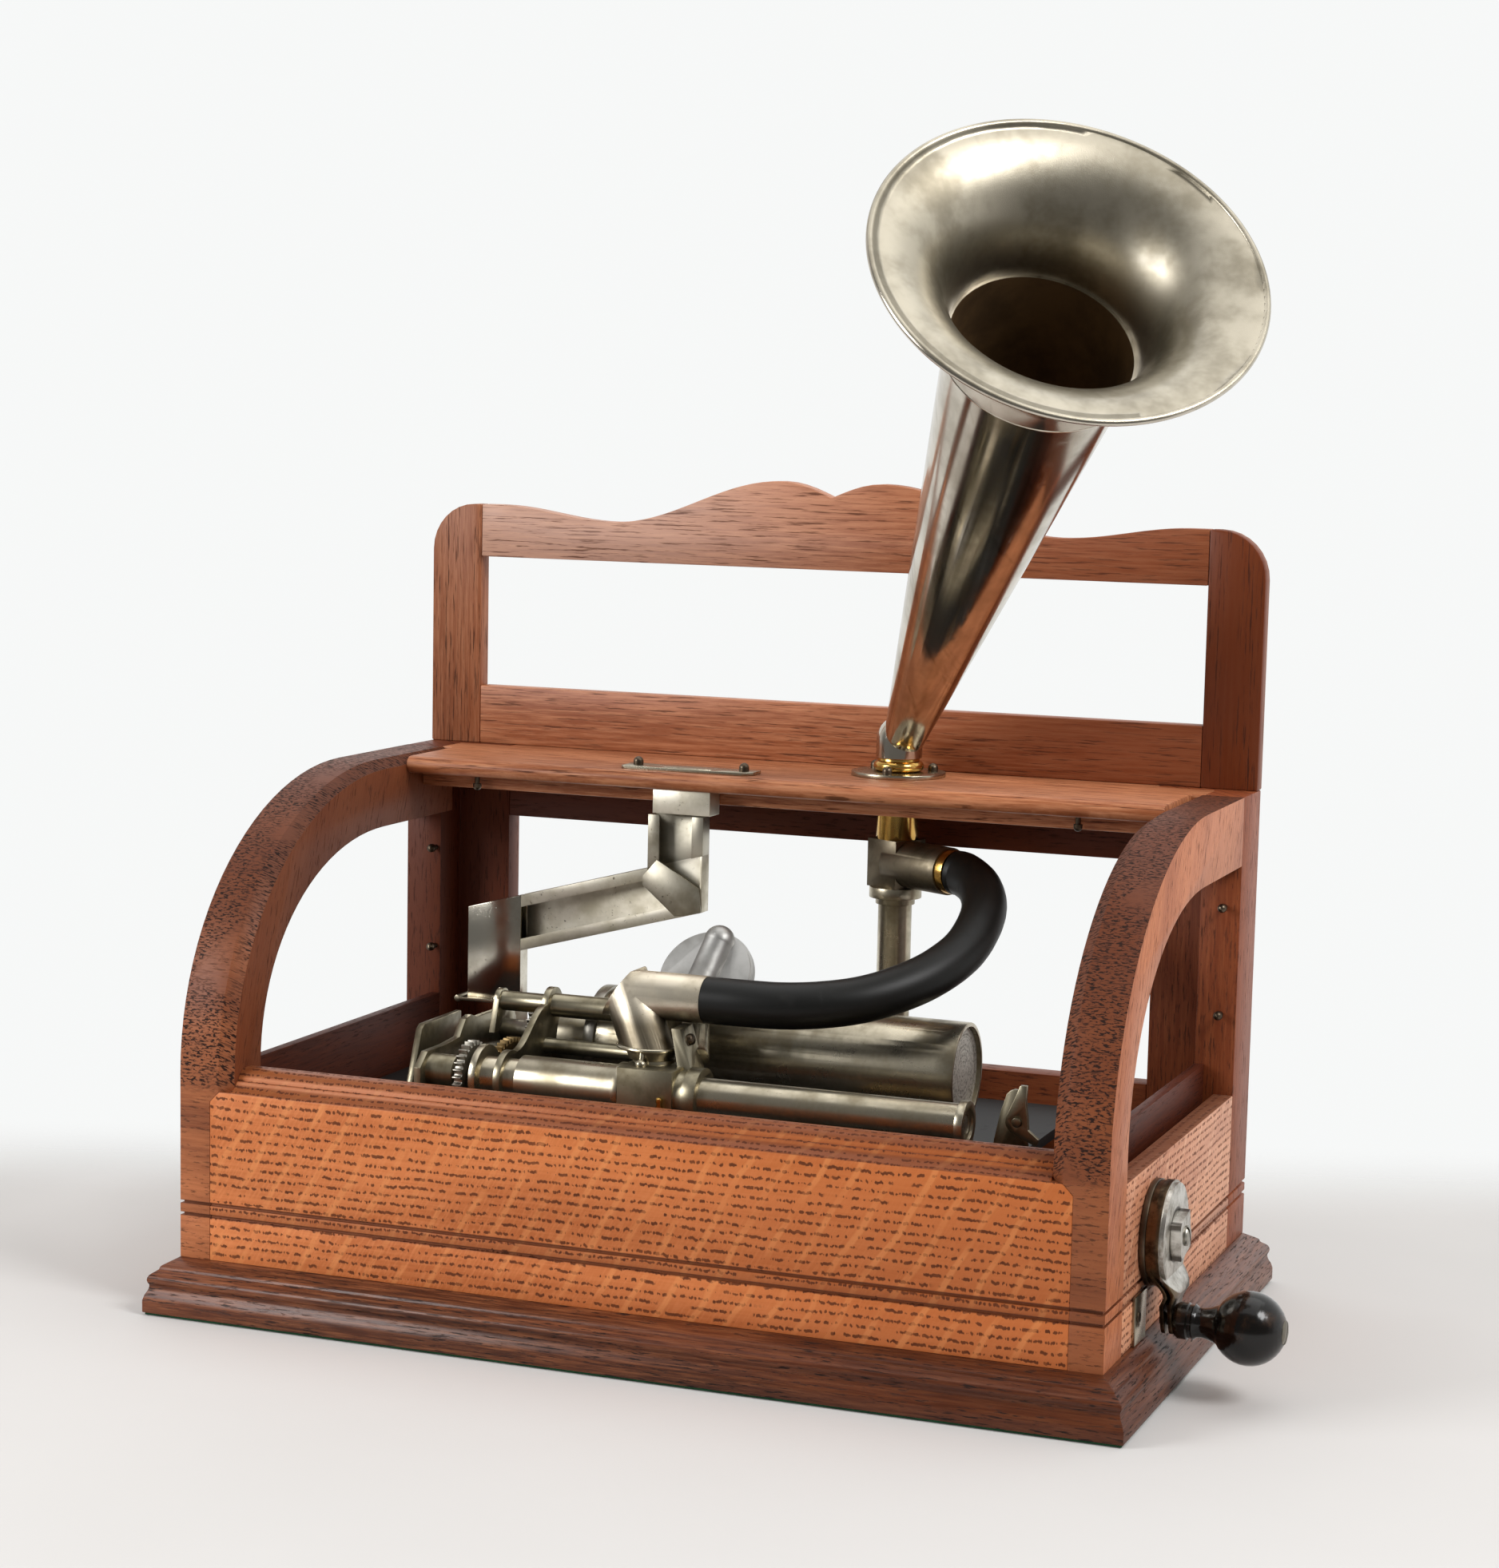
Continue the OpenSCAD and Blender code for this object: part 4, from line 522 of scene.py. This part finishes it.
def smooth_by_angle(limit):
    """A modifier group that shades smooth, apart from edges sharper than the limit."""
    group = bpy.data.node_groups.new("smooth_by_angle", "GeometryNodeTree")
    group.interface.new_socket("Geometry", in_out="INPUT", socket_type="NodeSocketGeometry")
    group.interface.new_socket("Geometry", in_out="OUTPUT", socket_type="NodeSocketGeometry")
    start = group.nodes.new("NodeGroupInput")
    end = group.nodes.new("NodeGroupOutput")
    faces = group.nodes.new("GeometryNodeSetShadeSmooth")
    faces.domain = "FACE"
    edges = group.nodes.new("GeometryNodeSetShadeSmooth")
    edges.domain = "EDGE"
    angle = group.nodes.new("GeometryNodeInputMeshEdgeAngle")
    less = group.nodes.new("FunctionNodeCompare")
    less.data_type = "FLOAT"
    less.operation = "LESS_THAN"
    less.inputs[1].default_value = math.radians(limit)
    group.links.new(start.outputs[0], faces.inputs["Geometry"])
    group.links.new(faces.outputs[0], edges.inputs["Geometry"])
    group.links.new(angle.outputs["Unsigned Angle"], less.inputs[0])
    group.links.new(less.outputs[0], edges.inputs["Shade Smooth"])
    group.links.new(edges.outputs[0], end.inputs[0])
    return group


SMOOTH = smooth_by_angle(32)


def soften(obj, bevel_mm, segments=2):
    """Rounds the edges of a piece and shades it smooth."""
    weld = obj.modifiers.new("weld", "WELD")
    weld.merge_threshold = 0.00001
    flat = obj.modifiers.new("flat", "DECIMATE")
    flat.decimate_type = "DISSOLVE"
    flat.angle_limit = math.radians(0.5)
    if bevel_mm:
        bevel = obj.modifiers.new("bevel", "BEVEL")
        bevel.width = bevel_mm * MM
        bevel.segments = segments
        bevel.limit_method = "ANGLE"
        bevel.angle_limit = math.radians(38)
    shade = obj.modifiers.new("shade", "NODES")
    shade.node_group = SMOOTH


def dress(material, bevel_mm, *names):
    """Gives CAD nodes their finish and rounded edges."""
    for name in names:
        obj = nodes[name]
        obj.data.materials.clear()
        obj.data.materials.append(material)
        soften(obj, bevel_mm)


dress(felt, 0.2, "felt_pad")
dress(oak_base, 0.5, "base_moulding")
dress(oak_front, 0.4, "front_panel")
dress(oak_bent, 0.5, "left_arch", "right_arch")
dress(oak_side, 0.6, "left_side_panel", "right_side_panel")
dress(oak_inner, 0.6, "glass_stops", "bed_bearers")
dress(oak_post_shaded, 0.6, "left_rear_post")
dress(oak_post, 0.6, "right_rear_post")
dress(oak_rail, 0.6, "back_lower_rail")
dress(oak_rail_shaded, 0.6, "back_top_rail")
dress(oak_shelf, 0.6, "shelf")
dress(oak_header_stile, 0.8, "header_stiles")
dress(oak_header_top, 0.8, "header_top_rail")
dress(oak_header_rail, 0.8, "header_bottom_rail")
dress(dark_steel, 0.0, "case_screws", "shelf_screws")
dress(japan, 0.4, "bed_plate")
dress(nickel_plate, 0.3, "end_frame", "bearing_plate")
dress(nickel_turned, 0.3, "bearing_drum", "feed_tube", "feed_tube_end", "post_pipe", "mandrel",
      "carriage_sleeve")
dress(steel, 0.3, "motor_frame", "mandrel_shaft", "feed_screw")
dress(nickel, 0.3, "coin_plate", "horn_flange", "case_bar", "chute_foot")
dress(nickel_bright, 0.3, "chute_lower")
dress(worn_tin, 0.25, "coin_entry_box", "chute_slope")
dress(dark_tin, 0.25, "chute_upper", "chute_corner_plate")
dress(nickel_brown, 0.3, "tee_block")
dress(chased, 0.25, "mandrel_end_plate")
dress(brass, 0.2, "horn_socket", "hose_ferrule")
dress(aged_brass, 0.2, "idler_gear", "centre_arbor", "spring_barrel", "governor")
dress(horn_bright, 0.0, "horn_cone")
dress(horn_satin, 0.0, "horn_bell")
dress(nickel_plate, 0.4, "carriage_frame")
dress(nickel_satin, 0.4, "sound_elbow")
dress(alloy, 0.4, "reproducer")
dress(dark_steel, 0.3, "coin_lever", "winding_shaft")
dress(nickel_plate, 0.3, "trip_lever", "trip_bracket")
dress(crank_steel, 0.3, "crank_arm")
dress(lacquer, 0.0, "crank_knob")


def piece(name, mesh, body, material):
    """A new piece of the object that rides on a body."""
    obj = bpy.data.objects.new(name, mesh)
    bpy.context.scene.collection.objects.link(obj)
    obj.data.materials.append(material)
    if body:
        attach(obj, body)
    return obj


def circle(sides):
    """Evenly spread angles, in radians."""
    return [2 * math.pi * k / sides for k in range(sides)]


def ring(bm, centre, side, up, radius, sides):
    """Points of a circle that lies along two directions."""
    return [bm.verts.new(centre + radius * (math.cos(a) * side + math.sin(a) * up)) for a in circle(sides)]


def skin(bm, loops, closed=False):
    """Faces between loops of points, with both ends capped, or with the last loop joined to the first."""
    following = loops[1:] + loops[:1] if closed else loops[1:]
    for a, b in zip(loops, following):
        count = len(a)
        for k in range(count):
            bm.faces.new((a[k], a[(k + 1) % count], b[(k + 1) % count], b[k]))
    if not closed:
        bm.faces.new(loops[0][::-1])
        bm.faces.new(loops[-1])


def finished(name, bm):
    """A mesh of the faces made so far, turned outward."""
    bmesh.ops.recalc_face_normals(bm, faces=bm.faces)
    mesh = bpy.data.meshes.new(name)
    bm.to_mesh(mesh)
    bm.free()
    return mesh


def across(way):
    """A way of length one, and two directions square to it."""
    way = Vector(way).normalized()
    side = way.orthogonal().normalized()
    return way, side, way.cross(side)


# Share of the radius where a tube's end is tucked into another
TUCK = 0.97


def tube_mesh(name, path, radius, sides, tucked=0):
    """A closed tube round a line of points, with rings square to its way and the first few tucked in."""
    bm = bmesh.new()
    rings = []
    for i, p in enumerate(path):
        way = (path[min(i + 1, len(path) - 1)] - path[max(i - 1, 0)]).normalized()
        side = Vector((0, 0, 1)).cross(way).normalized()
        share = TUCK if i < tucked else 1.0
        rings.append(ring(bm, p, side, way.cross(side), radius * share, sides))
    skin(bm, rings)
    return finished(name, bm)


def turned_mesh(name, place, way, profile, sides=24):
    """A turned piece from pairs of height and radius, in millimetres."""
    way, side, up = across(way)
    bm = bmesh.new()
    skin(bm, [ring(bm, (Vector(place) + height * way) * MM, side, up, radius * MM, sides)
              for height, radius in profile])
    return finished(name, bm)


def ring_mesh(name, centre, major, minor, wire, steps=48, sides=10):
    """A closed wire round an ellipse with the two half axes given as vectors, in millimetres."""
    centre, major, minor = Vector(centre), Vector(major), Vector(minor)
    axis = major.cross(minor).normalized()
    bm = bmesh.new()
    rings = []
    for a in circle(steps):
        out = math.cos(a) * major + math.sin(a) * minor
        rings.append(ring(bm, (centre + out) * MM, out.normalized(), axis, wire * MM, sides))
    skin(bm, rings, closed=True)
    return finished(name, bm)


# A screw head's dome and the disc at the bottom of its slot, as shares of its radius and its height
DOME = ((1.0, 0.0), (1.0, 0.45), (0.9, 0.75), (0.66, 0.93), (0.36, 1.0))
DISC_SHARE = 0.97
DISC_LEVEL = 0.4
DISC_SIDES = 24


def screw_mesh(name, place, way, radius, height, slot=0.16, turn=30.0, points=14):
    """A domed screw head in two halves on a low disc, so that a slot is left between them."""
    way, side, up = across(way)
    c, s = math.cos(math.radians(turn)), math.sin(math.radians(turn))
    side, up = c * side + s * up, c * up - s * side
    place = Vector(place)
    bm = bmesh.new()

    def loop(angles, r, level):
        spots = [place + r * math.cos(a) * side + r * math.sin(a) * up + level * way for a in angles]
        return [bm.verts.new(spot * MM) for spot in spots]

    for sign in (1, -1):
        loops = []
        for share, level in DOME:
            r = share * radius
            start = math.asin(slot * radius / r)
            angles = [start + (math.pi - 2 * start) * k / (points - 1) for k in range(points)]
            loops.append(loop(angles, sign * r, level * height))
        skin(bm, loops)
    disc = DISC_SHARE * radius
    skin(bm, [loop(circle(DISC_SIDES), disc, level * height) for level in (0.0, DISC_LEVEL)])
    return finished(name, bm)


def add(name, mesh, body, material):
    """A small piece with smooth shading."""
    soften(piece(name, mesh, body, material), 0.0)


def screw(name, body, material, finish, *size, **cut):
    """A slotted screw head on a body."""
    add(name, screw_mesh(name, *size, **cut), body, material)


ALONG_X = (1, 0, 0)

# Elbow: clamp wire round the cup, ball screw in front, set screw on the plate beside it, finger below
LEAN = Vector((-0.834, 0.552, 0))
LEVEL = Vector((0.552, 0.834, 0))
clamp = ring_mesh("elbow_clamp", (-17.2, -53.1, 121.6), 14.3 * LEAN, 11.7 * LEVEL, 0.9)
add("elbow_clamp", clamp, "arm", nickel)
BALL = [(0, 1.1), (3.4, 1.1), (3.7, 1.7), (4.4, 2.3), (5.4, 2.6), (6.4, 2.4), (7.2, 1.7), (7.6, 0.6)]
ball = turned_mesh("clamp_ball", (-14.6, -65.0, 121.2), (0.05, -0.3, -1), BALL)
add("clamp_ball", ball, "arm", nickel)
screw("plate_screw", "arm", dark_steel, "dark_steel", (2.2, -54.0, 126.0), (0.95, 0, 0.3), 2.5, 2.6)
FINGER = [(0, 1.7), (3.5, 1.6), (5.0, 1.2), (6.5, 1.5), (7.6, 1.1), (8.0, 0.4)]
finger = turned_mesh("block_finger", (-1.9, -75.0, 97.0), (0, -0.15, 1), FINGER)
add("block_finger", finger, "arm", brass)

# Crank: slotted stud on the boss, slotted disc at the knob's end, screw in the bar on the case
screw("crank_stud", "crank", steel, "dark_steel", (219.0,) + CRANK_AXIS, ALONG_X, 4.2, 2.0, turn=70)
screw("knob_disc", "knob", steel, "lacquer", (261.2, -56.0, 31.0), ALONG_X, 5.0, 1.6, slot=0.13, turn=15)
screw("bar_screw", "case", dark_steel, "dark_steel", (206.3, -74.5, 35.5), ALONG_X, 2.4, 1.0, turn=50)

# Coin channel's foot: screw on its ledge
screw("foot_screw", "case", nickel, "nickel", (-135.0, 43.9, 115.2), (0, 0, 1), 2.2, 2.0, turn=20)

# Horn: wire at the edge of the bell's collar, which lies this far from the foot and has this radius
COLLAR_AT = 257.9
COLLAR_R = 39.6
horn_way = Vector(HORN_WAY)
horn_side = horn_way.orthogonal().normalized()
horn_up = horn_way.cross(horn_side)
collar = Vector(HORN_FOOT) + COLLAR_AT * horn_way
wire = ring_mesh("horn_wire", collar, COLLAR_R * horn_side, COLLAR_R * horn_up, 0.7, steps=96)
add("horn_wire", wire, "horn", horn_bright)


# Hose: the route of the CAD solid, in metres
HOSE_D = 0.020
TEE_Z = 0.1872
TEE_END = 0.0395
TEE_TURN = math.radians(-28)
ELBOW = (0.0065, -0.045, 0.142)
# X, share of the depth from the elbow to the post, drop below the tee
HOSE_WAY = [
    (0.0845, 0.843, 0.0005), (0.094, 0.769, 0.004), (0.101, 0.664, 0.010), (0.103, 0.552, 0.0175),
    (0.101, 0.433, 0.0257), (0.094, 0.306, 0.0328), (0.084, 0.2, 0.038), (0.071, 0.112, 0.042),
    (0.056, 0.052, 0.0442), (0.040, 0.015, 0.0452)]
POST = (0.0446, 0.089)
HOSE_POINTS = [(POST[0] + TEE_END * math.cos(TEE_TURN), POST[1] + TEE_END * math.sin(TEE_TURN), TEE_Z)]
HOSE_POINTS += [(x, ELBOW[1] + k * (POST[1] - ELBOW[1]), TEE_Z - drop) for x, k, drop in HOSE_WAY]
HOSE_POINTS += [(0.024, ELBOW[1], ELBOW[2]), ELBOW]
# The point where the hose is parted, and how many steps of the spline the tail reaches into the main piece
HOSE_SPLIT = 9
HOSE_LAP = 3
HOSE_STEPS = 10
HOSE_SIDES = 32


def spline(points, steps):
    """Catmull-Rom points through a row of points."""
    p = [Vector(q) for q in points]
    line = []
    for i in range(len(p) - 1):
        a, b, c, d = p[max(i - 1, 0)], p[i], p[i + 1], p[min(i + 2, len(p) - 1)]
        for k in range(steps):
            t = k / steps
            line.append(0.5 * (2 * b + (c - a) * t + (2 * a - 5 * b + 4 * c - d) * t ** 2
                               + (3 * b - a - 3 * c + d) * t ** 3))
    return line + [p[-1]]


def hose_piece(name, line, tucked=0):
    """A length of hose along a line, which rides on no body alone."""
    obj = piece(name, tube_mesh(name, line, HOSE_D / 2, HOSE_SIDES, tucked), None, rubber)
    soften(obj, 0.0)
    return obj


route = spline(HOSE_POINTS, HOSE_STEPS)
cut = HOSE_SPLIT * HOSE_STEPS
main_route, tail_route = route[:cut + 1], route[cut - HOSE_LAP:]
hose = hose_piece("rubber_hose_main", main_route)
tail = hose_piece("rubber_hose_tail", tail_route, tucked=HOSE_LAP)
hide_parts("rubber_hose")
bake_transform(hose)
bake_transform(tail)


# Stage: the level way from the camera to the object, and where the floor fades along it and all round
BACK_WAY = (-0.354, 0.935, 0.0)
FADE_BACK = (150.0, 330.0)
FADE_ROUND = (380.0, 1100.0)


def floor_material():
    """Pale floor that fades into the white surroundings, soon behind the object and farther off elsewhere."""
    g = Graph("floor_white")
    mottle = g.noise(g.place, 0.004, 4.0, 0.6)
    g.set(Base_Color=g.blend(mottle, (0.60, 0.588, 0.576, 1.0), (0.64, 0.63, 0.62, 1.0)), Roughness=0.9)
    g.set(Specular_IOR_Level=0.1)
    clear = g.tree.nodes.new("ShaderNodeBsdfTransparent")
    mix = g.tree.nodes.new("ShaderNodeMixShader")
    far = g.step(g.vector("LENGTH", g.place), *FADE_ROUND)
    past = g.step(g.vector("DOT_PRODUCT", g.place, BACK_WAY), *FADE_BACK)
    g.put(mix.inputs[0], g.math("MAXIMUM", far, past))
    g.put(mix.inputs[1], g.bsdf.outputs[0])
    g.put(mix.inputs[2], clear.outputs[0])
    out = next(n for n in g.tree.nodes if n.type == "OUTPUT_MATERIAL")
    g.put(out.inputs[0], mix.outputs[0])
    return g.mat


bpy.ops.mesh.primitive_plane_add(size=12, location=(0, 0, -0.0002))
floor = bpy.context.object
floor.name = "floor"
floor.data.materials.append(floor_material())

scene = bpy.context.scene
scene.view_settings.view_transform = "Standard"
scene.world = bpy.data.worlds.new("studio")
scene.world.use_nodes = True
tree = scene.world.node_tree
tree.nodes.clear()


def world_range(value, low, high, least=0.0, most=1.0):
    """A number that goes smoothly from least to most as a socket goes from low to high."""
    node = tree.nodes.new("ShaderNodeMapRange")
    node.interpolation_type = "SMOOTHSTEP"
    tree.links.new(value, node.inputs["Value"])
    for key, number in (("From Min", low), ("From Max", high), ("To Min", least), ("To Max", most)):
        node.inputs[key].default_value = number
    return node.outputs[0]


def world_math(op, a, b):
    """A math node between two sockets of the world."""
    node = tree.nodes.new("ShaderNodeMath")
    node.operation = op
    tree.links.new(a, node.inputs[0])
    tree.links.new(b, node.inputs[1])
    return node.outputs[0]


def world_light(colour):
    """An even light of one colour from all round."""
    node = tree.nodes.new("ShaderNodeBackground")
    node.inputs["Color"].default_value = colour
    return node


path = tree.nodes.new("ShaderNodeLightPath")
coord = tree.nodes.new("ShaderNodeTexCoord")
split = tree.nodes.new("ShaderNodeSeparateXYZ")
tree.links.new(coord.outputs["Generated"], split.inputs[0])
to_back = split.outputs["Y"]

# The room is dim in front of the object and brighter behind it
room = world_light((1.0, 0.985, 0.96, 1.0))
white = world_light((0.93, 0.94, 0.935, 1.0))
tree.links.new(world_range(to_back, -0.45, 0.35, 0.15, 0.85), room.inputs["Strength"])

# Glossy and see-through rays meet the same white behind the object, and the dimmer room in front of it
behind = world_range(to_back, 0.0, 0.4)
mirrored = world_math("MAXIMUM", path.outputs["Is Glossy Ray"], path.outputs["Is Transmission Ray"])
seen = world_math("MAXIMUM", path.outputs["Is Camera Ray"], world_math("MULTIPLY", mirrored, behind))
mix = tree.nodes.new("ShaderNodeMixShader")
out = tree.nodes.new("ShaderNodeOutputWorld")
tree.links.new(seen, mix.inputs[0])
tree.links.new(room.outputs[0], mix.inputs[1])
tree.links.new(white.outputs[0], mix.inputs[2])
tree.links.new(mix.outputs[0], out.inputs[0])


def softbox(name, place, target, size, power):
    """A rectangular area lamp that faces a point."""
    lamp = bpy.data.lights.new(name, "AREA")
    lamp.shape = "RECTANGLE"
    lamp.size, lamp.size_y = size
    lamp.energy = power
    obj = bpy.data.objects.new(name, lamp)
    scene.collection.objects.link(obj)
    obj.location = place
    obj.rotation_euler = (Vector(target) - Vector(place)).to_track_quat("-Z", "Y").to_euler()


MIDDLE = (0, 0, 0.2)
softbox("key", (-1.3, -1.25, 0.85), MIDDLE, (0.8, 0.8), 22)
softbox("fill", (1.45, -0.5, 1.5), MIDDLE, (0.7, 0.7), 24)
softbox("top", (0.1, 0.1, 2.2), (0, 0.1, 0.1), (2.8, 2.2), 17)

# Camera found from the corners of the case in the photograph
IMAGE_H = 1962
FOCAL_PX = 4073.486
SENSOR = 36.0
SHIFT = (-0.0165, 0.0247)
CAMERA_AT = (0.51407, -1.30973, 0.39389)
FORWARD = Vector((-0.35082606, 0.92770176, -0.12763433))
RIGHT = Vector((0.93413689, 0.35625174, 0.02174806))
UP = Vector((-0.06564566, 0.11159815, 0.99158283))
camera = bpy.data.objects.new("camera", bpy.data.cameras.new("camera"))
scene.collection.objects.link(camera)
scene.camera = camera
camera.data.sensor_fit = "VERTICAL"
camera.data.sensor_height = SENSOR
camera.data.lens = FOCAL_PX * SENSOR / IMAGE_H
camera.data.shift_x, camera.data.shift_y = SHIFT
turn = Matrix((RIGHT, UP, -FORWARD)).transposed()
camera.matrix_world = Matrix.Translation(CAMERA_AT) @ turn.to_4x4()
